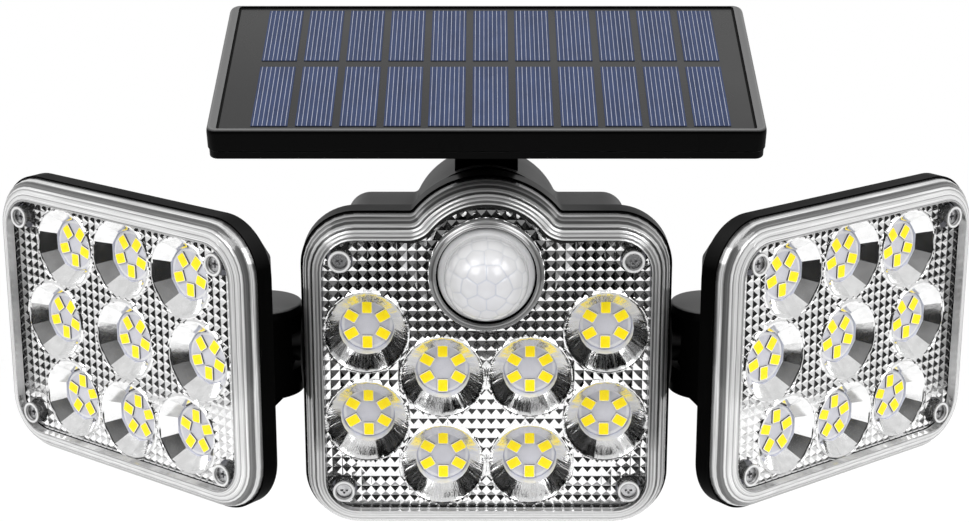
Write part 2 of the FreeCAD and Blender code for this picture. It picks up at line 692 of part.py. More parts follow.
def mode_button():
    """Round cap with a flange inside the box; it travels upwards."""
    seat = BOX_BOTTOM + SHELL_WALL
    low = BOX_BOTTOM - BUTTON_PROUD
    cap = rod_z(BUTTON_R, low, seat, BUTTON_X, -BUTTON_DEPTH)
    rim = [e for e in cap.Edges if e.BoundBox.ZMax < low + BUTTON_ROUND]
    flange = rod_z(BUTTON_FLANGE_R, seat, seat + BUTTON_FLANGE_H, BUTTON_X, -BUTTON_DEPTH)
    return join([cap.makeFillet(BUTTON_ROUND, rim), flange])


def button_switch():
    z1 = switch_board_z()
    half = SWITCH_SIZE / 2
    y = -BUTTON_DEPTH
    return box(BUTTON_X - half, BUTTON_X + half, y - half, y + half, z1 - SWITCH_HEIGHT, z1)


def switch_board():
    z0 = switch_board_z()
    half = SWITCH_BOARD_WIDTH / 2
    deep = SWITCH_BOARD_DEPTH / 2
    y = -BUTTON_DEPTH
    return box(BUTTON_X - half, BUTTON_X + half, y - deep, y + deep, z0, z0 + SWITCH_BOARD)


def pir_seat():
    front = TRAY_FRONT - HEAD_RIM_DEPTH - PIR_SEAT_PROUD
    bore = PIR_SEAT_R - PIR_SEAT_WALL
    sensor_y = sensor_board_y() + SENSOR_BOARD_THICK
    tube = rod_y(PIR_SEAT_R, front, HEAD_BOARD_Y, 0, PIR_Z)
    tube = tube.cut(rod_y(bore, front, sensor_y, 0, PIR_Z))
    tube = tube.cut(rod_y(bore - SENSOR_LEDGE, sensor_y, HEAD_BOARD_Y, 0, PIR_Z))
    return tube.cut(rod_y(PIR_FLANGE_R + RUNNING, front, front + PIR_FLANGE_H + FIT, 0, PIR_Z))


def sensor_board_y():
    """Front of the sensor's round board."""
    return REFLECTOR_Y + SENSOR_BOARD_BACK - SENSOR_BOARD_THICK


def sensor_board():
    y0 = sensor_board_y()
    return rod_y(PIR_SEAT_R - PIR_SEAT_WALL - EASY, y0, y0 + SENSOR_BOARD_THICK, 0, PIR_Z)


def pir_sensor():
    y1 = sensor_board_y()
    can = rod_y(SENSOR_CAN_R, y1 - SENSOR_CAN_H, y1, 0, PIR_Z)
    width, height = SENSOR_WINDOW
    front = y1 - SENSOR_CAN_H
    window = box(-width / 2, width / 2, front, front + SENSOR_WINDOW_DEPTH,
                 PIR_Z - height / 2, PIR_Z + height / 2)
    return can.cut(window)


def pir_lens():
    front = TRAY_FRONT - HEAD_RIM_DEPTH - PIR_SEAT_PROUD
    back = front + PIR_FLANGE_H + FIT
    base = back - PIR_FLANGE_H
    flange = rod_y(PIR_FLANGE_R, base, back, 0, PIR_Z)
    outer = dome(PIR_DOME_R, base - PIR_DOME_NECK, back)
    inner = dome(PIR_DOME_R - PIR_WALL, base - PIR_DOME_NECK, back)
    return join([flange, outer]).cut(inner)


def dome(r, centre, back):
    """Half ball towards the viewer on a short round neck."""
    half = Part.makeSphere(r, V(0, centre, PIR_Z), V(0, -1, 0), 0, 90, 360)
    return join([half, rod_y(r, centre, back, 0, PIR_Z)])


def wall_bracket():
    half = BRACKET_WIDTH / 2
    bottom = BOX_BOTTOM - BRACKET_THICK
    plate = box(-half, half, -BRACKET_THICK, 0, bottom, BRACKET_TOP)
    corners = [e for e in plate.Edges if abs(e.Length - BRACKET_THICK) < 0.001]
    plate = plate.makeFillet(BRACKET_CORNER, corners)
    tab = box(-TAB_WIDTH / 2, TAB_WIDTH / 2, -TAB_LENGTH, 0, bottom, BOX_BOTTOM)
    hooks = []
    for side in MIRRORED_PAIR:
        x0 = side * HOOK_X - HOOK_WIDTH / 2
        x1 = side * HOOK_X + HOOK_WIDTH / 2
        tip_y = LID_Y - GAP
        arm = box(x0, x1, tip_y - HOOK_TIP_THICK, 0, HOOK_TOP - HOOK_THICK, HOOK_TOP)
        tip = box(x0, x1, tip_y - HOOK_TIP_THICK, tip_y, HOOK_TOP, HOOK_TOP + HOOK_TIP)
        hooks += [arm, tip]
    body = join([plate, tab] + hooks)
    for sx in MIRRORED_PAIR:
        for sz in MIRRORED_PAIR:
            x = sx * WALL_HOLE_X / 2
            z = sz * WALL_HOLE_Z / 2
            body = body.cut(rod_y(WALL_HOLE_R, -BRACKET_THICK, 0, x, z))
    return body.cut(rod_z(LOCK_SCREW_R + EASY, bottom, BOX_BOTTOM, 0, -LOCK_SCREW_DEPTH))


def lock_screw():
    bottom = BOX_BOTTOM - BRACKET_THICK
    y = -LOCK_SCREW_DEPTH
    low = bottom - LOCK_SCREW_HEAD_H
    tip = BOX_BOTTOM + SHELL_WALL + LOCK_BOSS_H - LOCK_SCREW_SHORT
    head = rod_z(LOCK_SCREW_HEAD_R, low, bottom, 0, y)
    shank = rod_z(LOCK_SCREW_R, bottom, tip, 0, y)
    slot = box(-LOCK_SCREW_HEAD_R, LOCK_SCREW_HEAD_R, y - LOCK_SLOT / 2, y + LOCK_SLOT / 2,
               low, low + LOCK_SLOT)
    return join([head, shank]).cut(slot)


# --- side heads, built for the right-hand side and mirrored for the left ---

def drum_place():
    """Hinge axis in the head's own frame: x along the head, y towards its back."""
    yaw = math.radians(SIDE_YAW)
    dx = HINGE_X - HEAD_CENTRE_X
    dy = HINGE_Y + LED_PLANE
    x = dx * math.cos(yaw) + dy * math.sin(yaw)
    y = -dx * math.sin(yaw) + dy * math.cos(yaw)
    return x, y, HINGE_Z - HEAD_CENTRE_Z


def slot_sector(z0, z1):
    """The part of the drum's wall that the shaft sweeps over the swivel's range."""
    margin = math.degrees(math.asin((SHAFT_R + GAP) / (DRUM_R - DRUM_WALL)))
    start = 180 - (SIDE_YAW + SWIVEL_OUT) - margin
    end = 180 - (SIDE_YAW - SWIVEL_IN) + margin
    count = 4
    x, y, z = drum_place()
    reach = 2 * DRUM_R
    points = [V(x, y, z0)]
    for i in range(count + 1):
        a = math.radians(start + (end - start) * i / count)
        points.append(V(x + reach * math.cos(a), y + reach * math.sin(a), z0))
    points.append(points[0])
    return Part.Face(Part.makePolygon(points)).extrude(V(0, 0, z1 - z0))


def side_shell():
    """Black back of a side head with the hinge drum and the web that carries it."""
    edge = SIDE_TRAY_Y + SIDE_EDGE_DEPTH
    shoulder = SIDE_TRAY_Y + SIDE_SHOULDER_DEPTH
    back = SIDE_TRAY_Y + SIDE_SHELL_DEPTH
    board_back = CHIP_HEIGHT + BOARD_THICK
    rim = SIDE.slab(-LIP, SIDE_TRAY_Y, edge)
    bulge = SIDE.loft([(-LIP, edge), (SIDE_SHOULDER_INSET, shoulder), (SIDE_BACK_INSET, back)])
    outer = join([rim, bulge])
    ledge = RIM_WIDTH + BOARD_SHELF
    hollow = [SIDE.slab(TRAY_WALL_INSET, SIDE_TRAY_Y, board_back),
              gasket_groove(SIDE, SIDE_TRAY_Y),
              SIDE.slab(ledge, board_back, edge),
              SIDE.loft([(ledge, edge), (SIDE_BACK_INSET + SIDE_WALL, back - SIDE_WALL)])]
    body = join([outer] + drum_and_web(back))
    for space in hollow:
        body = body.cut(space)
    posts = [rod_y(POST_R, SIDE_POST_Y, back, x, z).common(outer) for x, z in SIDE_SCREWS]
    body = join([body] + posts)
    for x, z in SIDE_SCREWS:
        body = body.cut(rod_y(SCREW_R + RUNNING, SIDE_POST_Y, edge + BORE_BOTTOM, x, z))
    for space in drum_spaces():
        body = body.cut(space)
    return body


def drum_and_web(back):
    x, y, z = drum_place()
    top = z + DRUM_HEIGHT / 2 - DRUM_CAP
    low = z - DRUM_HEIGHT / 2
    x0 = x - WEB_WIDTH / 2
    drum = rod_z(DRUM_R, low, top, x, y)
    profile = [V(x0, back - WEB_ROOT, top), V(x0, y, top), V(x0, y, low),
               V(x0, back - WEB_ROOT, low - WEB_DROP)]
    web = Part.Face(Part.makePolygon(profile + profile[:1])).extrude(V(WEB_WIDTH, 0, 0))
    return [drum, web]


def drum_spaces():
    """Room in the drum for the arm's hub and shaft, and the seat of the swivel pin."""
    x, y, z = drum_place()
    low = z - DRUM_HEIGHT / 2
    top = z + DRUM_HEIGHT / 2 - DRUM_CAP
    reach = SHAFT_R + 2 * GAP
    return [rod_z(DRUM_R - DRUM_WALL, low + DRUM_FLOOR, top, x, y),
            slot_sector(z - reach, z + reach),
            rod_z(SWIVEL_PIN_R, low + DRUM_FLOOR - SWIVEL_PIN_SEAT, low + DRUM_FLOOR, x, y)]


def drum_cap():
    x, y, z = drum_place()
    top = z + DRUM_HEIGHT / 2
    cap = rod_z(DRUM_R, top - DRUM_CAP, top, x, y)
    rim = [e for e in cap.Edges if e.BoundBox.ZMin > top - DRUM_CAP_ROUND]
    cap = cap.makeFillet(DRUM_CAP_ROUND, rim)
    return cap.cut(rod_z(SWIVEL_PIN_R, top - DRUM_CAP, top - DRUM_CAP + SWIVEL_PIN_SEAT, x, y))


def swivel_pin():
    x, y, z = drum_place()
    low = z - DRUM_HEIGHT / 2 + DRUM_FLOOR - SWIVEL_PIN_SEAT
    high = z + DRUM_HEIGHT / 2 - DRUM_CAP + SWIVEL_PIN_SEAT
    return rod_z(SWIVEL_PIN_R, low, high, x, y)


def side_pieces():
    """All pieces of one side head in the head's own frame."""
    cups = side_cups()
    face = SIDE_TRAY_Y - SIDE_RIM_DEPTH
    places = [(x, z) for x, z, first in cups]
    chips = []
    for x, z, first in cups:
        chips += led_ring(x, z, SIDE_RING_R, SIDE_RING_COUNT, first, 0.0)
    return {
        "head_shell": side_shell(),
        "drum_cap": drum_cap(),
        "swivel_pin": swivel_pin(),
        "gasket": gasket(SIDE, SIDE_TRAY_Y),
        "led_board": led_board(SIDE, CHIP_HEIGHT, RIM_WIDTH - BOARD_SHELF, SIDE_SCREWS),
        "leds": Part.Compound(chips),
        "reflector": reflector(SIDE, RIM_WIDTH + REFLECTOR_FIT, places, SIDE_CUP_FLOOR_R, SIDE_CUP_RIM_R,
                               CHIP_HEIGHT, -SIDE_CUP_DEPTH, SIDE_SCREWS),
        "clear_cover": clear_cover(SIDE, SIDE_TRAY_Y, SIDE_RIM_DEPTH, SIDE_SCREWS, SIDE_POST_Y),
        "cover_screws": cover_screws(SIDE_SCREWS, face, SIDE_SCREW_LENGTH),
    }


def hinge_pieces():
    """The arm that carries the right head, in the light's frame."""
    low = HINGE_Z - DRUM_HEIGHT / 2 + DRUM_FLOOR + GAP / 2
    high = HINGE_Z + DRUM_HEIGHT / 2 - DRUM_CAP - GAP / 2
    hub = rod_z(DRUM_R - DRUM_WALL - GAP, low, high, HINGE_X, HINGE_Y)
    inner_end = BOX_INNER_X - SHAFT_NUT_H - SHAFT_END
    shaft = rod_x(SHAFT_R, inner_end, HINGE_X, HINGE_Y, HINGE_Z)
    arm = join([hub, shaft]).cut(rod_z(SWIVEL_PIN_R + RUNNING, low, high, HINGE_X, HINGE_Y))
    bore = rod_x(SHAFT_R + RUNNING, inner_end, BOSS_X + WASHER_H, HINGE_Y, HINGE_Z)
    washer = rod_x(WASHER_R, BOSS_X, BOSS_X + WASHER_H, HINGE_Y, HINGE_Z).cut(bore)
    nut = hexagon_x(SHAFT_NUT_R, BOX_INNER_X - SHAFT_NUT_H, BOX_INNER_X, HINGE_Y, HINGE_Z).cut(bore)
    return {"arm": arm, "friction_washer": washer, "shaft_nut": nut}


def hexagon_x(r, x0, x1, y, z):
    """Hexagonal prism along X; r is half the distance across its corners."""
    angles = [math.radians(60 * i) for i in range(7)]
    points = [V(x0, y + r * math.cos(a), z + r * math.sin(a)) for a in angles]
    return Part.Face(Part.makePolygon(points)).extrude(V(x1 - x0, 0, 0))


def place_side(shape):
    placed = shape.copy()
    placed.rotate(V(0, 0, 0), Z_AXIS, SIDE_YAW)
    placed.translate(V(HEAD_CENTRE_X, -LED_PLANE, HEAD_CENTRE_Z))
    return placed


def mirrored(shape):
    return shape.mirror(V(0, 0, 0), X_AXIS)


# --- solar panel, in the hinge's frame: y along the panel towards the wall, z out of its face ---

def panel_slab(side_inset, end_inset, z0, z1):
    half = PANEL_WIDTH / 2 - side_inset
    deep = PANEL_LENGTH / 2 - end_inset
    slab = box(-half, half, -PANEL_FORWARD - deep, -PANEL_FORWARD + deep, z0, z1)
    corner = PANEL_CORNER - min(end_inset, side_inset, PANEL_CORNER / 2)
    upright = [e for e in slab.Edges if abs(e.Length - (z1 - z0)) < 0.001]
    return slab.makeFillet(corner, upright)


def panel_frame():
    top = PANEL_RISE + PANEL_THICK
    seam = PANEL_RISE + PANEL_BACK
    frame = panel_slab(0, 0, seam, top)
    frame = frame.cut(panel_slab(PANEL_RIM_SIDE, PANEL_RIM_END, top - PANEL_POCKET, top))
    side = PANEL_RIM_SIDE + PANEL_LEDGE
    end = PANEL_RIM_END + PANEL_LEDGE
    return frame.cut(panel_slab(side, end, seam, top - PANEL_POCKET))


def panel_back():
    seam = PANEL_RISE + PANEL_BACK
    plate = panel_slab(PANEL_BACK_INSET, PANEL_BACK_INSET, PANEL_RISE, seam)
    ears = []
    for side in MIRRORED_PAIR:
        x0, x1 = ear_span(side)
        ears.append(box(x0, x1, -KNUCKLE_R, KNUCKLE_R, 0, PANEL_RISE))
        ears.append(rod_x(KNUCKLE_R, x0, x1, 0, 0))
    body = join([plate] + ears)
    reach = NECK_WIDTH / 2 + GAP + EAR_THICK
    return body.cut(rod_x(HINGE_BOLT_R + RUNNING, -reach, reach, 0, 0))


def ear_span(side):
    near = NECK_WIDTH / 2 + GAP
    far = near + EAR_THICK
    return (near, far) if side > 0 else (-far, -near)


def solar_board():
    z0 = PANEL_RISE + PANEL_THICK - PANEL_POCKET
    return panel_slab(PANEL_RIM_SIDE + EASY, PANEL_RIM_END + EASY, z0, z0 + PANEL_BOARD)


def solar_cells():
    z0 = PANEL_RISE + PANEL_THICK - PANEL_POCKET + PANEL_BOARD
    pitch = CELL_WIDTH + CELL_GAP
    front = -PANEL_FORWARD - PANEL_LENGTH / 2 + CELL_FRONT_MARGIN
    rows = [(front, CELL_FRONT_ROW), (front + CELL_FRONT_ROW + CELL_ROW_GAP, CELL_BACK_ROW)]
    group = []
    for i in range(CELL_COLUMNS):
        x0 = CELL_FIELD_X + (i - (CELL_COLUMNS - 1) / 2) * pitch - CELL_WIDTH / 2
        for y0, length in rows:
            group.append(box(x0, x0 + CELL_WIDTH, y0, y0 + length, z0, z0 + CELL_THICK))
    return Part.Compound(group)


def hinge_bolt():
    near = NECK_WIDTH / 2 + GAP + EAR_THICK
    end = near + HINGE_BOLT_HEAD_H
    shank = rod_x(HINGE_BOLT_R, -near - HINGE_NUT_H - HINGE_BOLT_END, near, 0, 0)
    head = rod_x(HINGE_BOLT_HEAD_R, near, end, 0, 0)
    socket = hexagon_x(HINGE_SOCKET_R, end - HINGE_SOCKET_DEPTH, end, 0, 0)
    return join([shank, head]).cut(socket)


def hinge_nut():
    near = NECK_WIDTH / 2 + GAP + EAR_THICK
    nut = hexagon_x(HINGE_BOLT_HEAD_R, -near - HINGE_NUT_H, -near, 0, 0)
    return nut.cut(rod_x(HINGE_BOLT_R + RUNNING, -near - HINGE_NUT_H, -near, 0, 0))


def place_panel(shape):
    placed = shape.copy()
    placed.rotate(V(0, 0, 0), X_AXIS, PANEL_TILT)
    placed.translate(V(0, -PANEL_HINGE_DEPTH, PANEL_HINGE_Z))
    return placed


def panel_neck():
    half = NECK_WIDTH / 2
    y = -PANEL_HINGE_DEPTH
    foot = TOWER_Z + TOWER_R - NECK_SINK
    knee = PANEL_HINGE_Z - KNUCKLE_R
    profile = [V(-half, y - NECK_FRONT, foot), V(-half, y + NECK_BACK, foot),
               V(-half, y + NECK_BACK, PANEL_HINGE_Z), V(-half, y - KNUCKLE_R, PANEL_HINGE_Z),
               V(-half, y - NECK_FRONT, knee)]
    column = Part.Face(Part.makePolygon(profile + profile[:1])).extrude(V(NECK_WIDTH, 0, 0))
    body = join([column, rod_x(KNUCKLE_R, -half, half, y, PANEL_HINGE_Z)])
    tower = rod_y(TOWER_R, y - 2 * NECK_FRONT, y + 2 * NECK_FRONT, 0, TOWER_Z)
    body = body.cut(tower)
    body = body.cut(rod_x(HINGE_BOLT_R + RUNNING, -half, half, y, PANEL_HINGE_Z))
    for place in neck_screw_places():
        body = body.cut(rod_z(NECK_SCREW_R + RUNNING, foot, neck_screw_top(), 0, place))
    return body


def neck_screw_top():
    return TOWER_Z + TOWER_R - SHELL_WALL + NECK_SCREW_LENGTH


def neck_screws():
    seat = TOWER_Z + TOWER_R - SHELL_WALL - GAP
    group = []
    for y in neck_screw_places():
        head = rod_z(NECK_SCREW_HEAD_R, seat - NECK_SCREW_HEAD_H, seat, 0, y)
        group.append(join([head, rod_z(NECK_SCREW_R, seat, neck_screw_top() - GAP, 0, y)]))
    return Part.Compound(group)


def build():
    face = TRAY_FRONT - HEAD_RIM_DEPTH
    nodes = {
        "rear_housing": rear_housing(),
        "back_cover": back_cover(),
        "back_cover_screws": back_cover_screws(),
        "wall_bracket": wall_bracket(),
        "lock_screw": lock_screw(),
        "battery_cell": battery_cell(),
        "driver_board": driver_board(),
        "driver_parts": driver_parts(),
        "driver_screws": driver_screws(),
        "mode_button": mode_button(),
        "button_switch": button_switch(),
        "switch_board": switch_board(),
        "centre_gasket": gasket(HEAD, TRAY_FRONT),
        "centre_led_board": led_board(HEAD, HEAD_BOARD_Y, RIM_WIDTH - BOARD_SHELF, HEAD_SCREWS),
        "centre_leds": centre_leds(),
        "centre_reflector": centre_reflector(),
        "centre_cover": centre_cover(),
        "centre_cover_screws": cover_screws(HEAD_SCREWS, face, HEAD_SCREW_LENGTH),
        "pir_seat": pir_seat(),
        "pir_lens": pir_lens(),
        "pir_sensor": pir_sensor(),
        "sensor_board": sensor_board(),
        "panel_neck": panel_neck(),
        "neck_screws": neck_screws(),
        "panel_frame": place_panel(panel_frame()),
        "panel_back": place_panel(panel_back()),
        "solar_board": place_panel(solar_board()),
        "solar_cells": place_panel(solar_cells()),
        "panel_hinge_bolt": place_panel(hinge_bolt()),
        "panel_hinge_nut": place_panel(hinge_nut()),
    }
    for name, shape in side_pieces().items():
        nodes["right_" + name] = place_side(shape)
        nodes["left_" + name] = mirrored(place_side(shape))
    for name, shape in hinge_pieces().items():
        nodes["right_" + name] = shape
        nodes["left_" + name] = mirrored(shape)
    return nodes


os.makedirs("parts", exist_ok=True)
for name, shape in build().items():
    shape.exportStep("parts/" + name + ".step")
    print(name, len(shape.Solids), "solids", round(shape.Volume, 1), "valid", shape.isValid())
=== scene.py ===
import math

import bpy
import bmesh
import numpy as np
from mathutils.geometry import delaunay_2d_cdt
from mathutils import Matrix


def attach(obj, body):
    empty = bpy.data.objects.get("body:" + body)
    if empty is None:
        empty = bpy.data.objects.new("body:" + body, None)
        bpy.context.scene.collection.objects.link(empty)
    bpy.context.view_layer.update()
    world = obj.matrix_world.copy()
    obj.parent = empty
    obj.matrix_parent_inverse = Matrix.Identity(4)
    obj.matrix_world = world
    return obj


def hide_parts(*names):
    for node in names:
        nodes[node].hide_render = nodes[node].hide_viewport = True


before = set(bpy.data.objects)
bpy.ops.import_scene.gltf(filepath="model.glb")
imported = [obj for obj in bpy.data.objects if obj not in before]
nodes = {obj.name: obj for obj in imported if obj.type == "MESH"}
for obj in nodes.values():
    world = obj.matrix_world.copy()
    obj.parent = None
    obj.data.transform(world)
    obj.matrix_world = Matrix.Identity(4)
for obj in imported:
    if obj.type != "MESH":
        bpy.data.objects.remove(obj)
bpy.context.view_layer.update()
print("frame loaded:", len(nodes), "nodes")

# Sizes are in millimetres in the CAD's frame: the wall is y = 0 and the light faces -Y. Only the studio
# and the camera are in metres.
mm = 0.001


def maths(operation, swapped=False):
    # a method that adds one Math node to a value
    return lambda self, other: self.join(operation, other, swapped)


class Value:
    # wraps one number socket, so that shader maths reads as ordinary maths
    def __init__(self, look, socket):
        self.look, self.socket = look, socket

    def join(self, operation, other, swapped):
        pair = (other, self) if swapped else (self, other)
        return self.look.node("ShaderNodeMath", {"operation": operation}, dict(enumerate(pair)))

    __add__ = __radd__ = maths("ADD")
    __mul__ = __rmul__ = maths("MULTIPLY")
    __sub__, __rsub__ = maths("SUBTRACT"), maths("SUBTRACT", True)
    __truediv__, __rtruediv__ = maths("DIVIDE"), maths("DIVIDE", True)
    __pow__, __rpow__ = maths("POWER"), maths("POWER", True)
    __lt__, __gt__ = maths("LESS_THAN"), maths("GREATER_THAN")
    most = maths("MAXIMUM")

    def size(self):
        return self.join("ABSOLUTE", 0.0, False)

    def span(self, low, high, outLow=0.0, outHigh=1.0):
        # maps low..high to outLow..outHigh and stops at both ends
        return self.look.node("ShaderNodeMapRange", {"clamp": True},
                              {0: self, 1: low, 2: high, 3: outLow, 4: outHigh})


class Look:
    # one material: its nodes, its Principled shader and short ways to the usual sockets
    def __init__(self, name, **settings):
        self.material = bpy.data.materials.new(name)
        self.material.use_nodes = True
        self.tree = self.material.node_tree
        self.shader = self.tree.nodes["Principled BSDF"]
        self.feed(**settings)

    def fill(self, socket, value):
        # links a value or another socket, and sets anything else
        if isinstance(value, Value):
            value = value.socket
        if isinstance(value, bpy.types.NodeSocket):
            self.tree.links.new(value, socket)
        else:
            socket.default_value = value

    def node(self, kind, settings=None, inputs=None, output=0):
        # one node: its settings first, a ramp's stops among them, then its sockets
        made = self.tree.nodes.new(kind)
        for key, value in (settings or {}).items():
            if key == "stops":
                self.setStops(made.color_ramp, value)
            else:
                setattr(made, key, value)
        for key, value in (inputs or {}).items():
            self.fill(made.inputs[key], value)
        return Value(self, made.outputs[output])

    def setStops(self, ramp, stops):
        ramp.elements[0].position, ramp.elements[1].position = stops[0][0], stops[-1][0]
        for place, shade in stops[1:-1]:
            ramp.elements.new(place)
        for element, (place, shade) in zip(ramp.elements, stops):
            element.color = colour(shade)

    def ramp(self, value, stops, reach):
        # shades by millimetres from 0 to reach
        scaled = [(place / reach, shade) for place, shade in stops]
        return self.node("ShaderNodeValToRGB", {"stops": scaled}, {0: value / reach})

    def split(self, vector):
        # the three numbers of a vector
        made = self.node("ShaderNodeSeparateXYZ", {}, {0: vector}).socket.node
        return [Value(self, socket) for socket in made.outputs]

    def vector(self, x, y, z=0.0):
        return self.node("ShaderNodeCombineXYZ", {}, {0: x, 1: y, 2: z})

    def objectPlace(self):
        # object coordinates in millimetres
        place = self.node("ShaderNodeTexCoord", output=3)
        return self.node("ShaderNodeVectorMath", {"operation": "SCALE"}, {0: place, 3: 1 / mm})

    def axis(self, which):
        # one object coordinate: 0 across, 1 into the wall, 2 up
        return self.split(self.objectPlace())[which]

    def uvPlace(self):
        return self.split(self.node("ShaderNodeUVMap"))[:2]

    def uvFlow(self, alongScale, acrossScale):
        # the uv map stretched both ways, for streaks
        along, across = self.uvPlace()
        return self.vector(along * alongScale, across * acrossScale)

    def noise(self, scale, detail, roughness=0.5, place=None):
        return self.node("ShaderNodeTexNoise", {}, {"Vector": place or self.objectPlace(), "Scale": scale,
                                                    "Detail": detail, "Roughness": roughness})

    def cloud(self, scale, detail, edge=0.3, place=None):
        # noise stretched so that edge becomes 0 and 1 - edge becomes 1
        return self.noise(scale, detail, place=place).span(edge, 1.0 - edge)

    def mixColour(self, factor, first, second):
        return self.node("ShaderNodeMix", {"data_type": "RGBA"},
                         {0: factor, 6: colour(first), 7: colour(second)}, 2)

    def bump(self, height, distance, strength):
        return self.node("ShaderNodeBump", {}, {"Height": height, "Distance": distance * mm,
                                                "Strength": strength})

    def feed(self, **links):
        # fills the shader's sockets by name
        for key, value in links.items():
            self.fill(self.shader.inputs[key.replace("_", " ")], value)


def colour(shade):
    # a grey number, a colour triple or a link, as a socket takes it
    if isinstance(shade, (Value, bpy.types.NodeSocket)):
        return shade
    if isinstance(shade, (int, float)):
        shade = (shade, shade, shade)
    return (*shade, 1.0)


def columns(*parts):
    # arrays or numbers side by side, along a new last axis
    return np.stack(np.broadcast_arrays(*parts), -1)


def grid(points, closedU=False, closedV=False, flip=False, finish=0, uv=None):
    # turns an array of points [u, v, xyz] into one skin of four-sided faces
    nu, nv = points.shape[:2]
    index = np.arange(nu * nv).reshape(nu, nv)
    a = np.concatenate([index, index[:1]]) if closedU else index
    a = np.concatenate([a, a[:, :1]], 1) if closedV else a
    faces = columns(a[:-1, :-1], a[1:, :-1], a[1:, 1:], a[:-1, 1:]).reshape(-1, 4)
    if uv is None:
        uv = columns(*np.meshgrid(np.linspace(0, 1, nu), np.linspace(0, 1, nv), indexing="ij"))
    return {"points": points.reshape(-1, 3), "faces": faces[:, ::-1] if flip else faces,
            "uv": np.asarray(uv, float).reshape(-1, 2), "finish": finish}


def show(name, data):
    # an object of a mesh, a light or a camera, in the scene
    thing = bpy.data.objects.new(name, data)
    bpy.context.scene.collection.objects.link(thing)
    return thing


meshing = {"merge": 0.002, "sliver": 0.0005}


def build(name, skins, looks, carrier, replaced, smooth):
    # one object from several skins, put in place and on the body of its carrier: doubles merged, faces
    # turned outwards, shaded smooth under an angle
    starts = np.cumsum([0] + [len(s["points"]) for s in skins[:-1]])
    points = carrier["place"](np.concatenate([s["points"] for s in skins])) * mm
    faces = sum([(s["faces"] + start).tolist() for s, start in zip(skins, starts)], [])
    mesh = bpy.data.meshes.new(name)
    mesh.from_pydata(points, [], faces)
    uv = np.concatenate([s["uv"] for s in skins])
    corners = np.empty(len(mesh.loops), np.int32)
    mesh.loops.foreach_get("vertex_index", corners)
    mesh.uv_layers.new(name="along").data.foreach_set("uv", uv[corners].ravel())
    finish = np.concatenate([np.full(len(s["faces"]), s["finish"]) for s in skins])
    mesh.polygons.foreach_set("material_index", finish.astype(np.int32))
    for look in looks:
        mesh.materials.append(look.material)
    work = bmesh.new()
    work.from_mesh(mesh)
    bmesh.ops.remove_doubles(work, verts=work.verts, dist=meshing["merge"] * mm)
    bmesh.ops.dissolve_degenerate(work, edges=work.edges, dist=meshing["sliver"] * mm)
    bmesh.ops.recalc_face_normals(work, faces=work.faces)
    work.to_mesh(mesh)
    work.free()
    mesh.set_sharp_from_angle(angle=math.radians(smooth))
    piece = show(name, mesh)
    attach(piece, carrier["body"])
    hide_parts(*replaced)


def arcPoints(cx, cz, radius, start, end, steps):
    # circle arc: centre + radius times cosine and sine of evenly spaced angles
    angle = np.radians(np.linspace(start, end, steps))
    return columns(cx + radius * np.cos(angle), cz + radius * np.sin(angle))


def circle(cx, cz, radius, steps=48):
    # a whole turn of the arc, without its last point, which would be the first again
    return arcPoints(cx, cz, radius, 0, 360 * (1 - 1 / steps), steps)


def outline(shape, inset, steps=9):
    # rounded rectangle; with an arch, its circle meets the top edge in two hollow fillets
    w = shape["width"] / 2 - inset
    low, top = shape["bottom"] + inset, shape["top"] - inset
    r = max(shape["corner"] - inset, 0.4)
    corners = [arcPoints(x, z, r, start, start + 90, steps) for x, z, start in (
        (w - r, low + r, -90), (w - r, top - r, 0), (r - w, top - r, 90), (r - w, low + r, 180))]
    arch = []
    if shape["arch"]:
        centre, radius = shape["arch"]
        radius -= inset
        valley = shape["valley"] + inset
        rise = top + valley - centre
        reach = math.sqrt((radius + valley) ** 2 - rise ** 2)
        turn = math.degrees(math.atan2(rise, reach))
        arch = [arcPoints(reach, top + valley, valley, 270, 180 + turn, steps),
                arcPoints(0, centre, radius, turn, 180 - turn, steps * 4),
                arcPoints(-reach, top + valley, valley, -turn, -90, steps)]
    return np.concatenate(corners[:2] + arch + corners[2:])


def sweep(shape, profile):
    # carries a closed profile of (inset, depth) along the outline; the uv is the way round in centimetres
    # and the inset
    loops = np.stack([outline(shape, inset) for inset, depth in profile], 1)
    inset, depth = np.array(profile, float).T
    points = columns(loops[..., 0], depth, loops[..., 1])
    steps = np.linalg.norm(np.roll(loops[:, 0], -1, 0) - loops[:, 0], axis=1)
    along = np.concatenate([[0], np.cumsum(steps)[:-1]]) / 10.0
    return grid(points, closedU=True, closedV=True, uv=columns(along[:, None], inset))


def lathe(cx, cz, profile, steps, closed=True, finish=0):
    # turns a profile of (radius, depth) about the axis through (cx, cz) that faces the viewer; the uv is
    # the share of a turn and the length along the profile
    angle = np.linspace(0, 2 * np.pi, steps, endpoint=False)[:, None]
    radius, depth = np.array(profile, float).T
    points = columns(cx + radius * np.cos(angle), depth, cz + radius * np.sin(angle))
    length = np.concatenate([[0], np.cumsum(np.hypot(np.diff(radius), np.diff(depth)))])
    uv = columns(angle / (2 * np.pi), length)
    return grid(points, closedU=True, closedV=closed, finish=finish, uv=uv)


def inside(points, loop):
    # true where a ray to the right crosses the loop an odd number of times
    a, b = loop, np.roll(loop, -1, 0)
    x, z = points[:, :1], points[:, 1:]
    crosses = (a[:, 1] > z) != (b[:, 1] > z)
    rise = np.where(b[:, 1] == a[:, 1], 1e-9, b[:, 1] - a[:, 1])
    reach = a[:, 0] + (z - a[:, 1]) * (b[:, 0] - a[:, 0]) / rise
    return (crosses & (x < reach)).sum(1) % 2 == 1


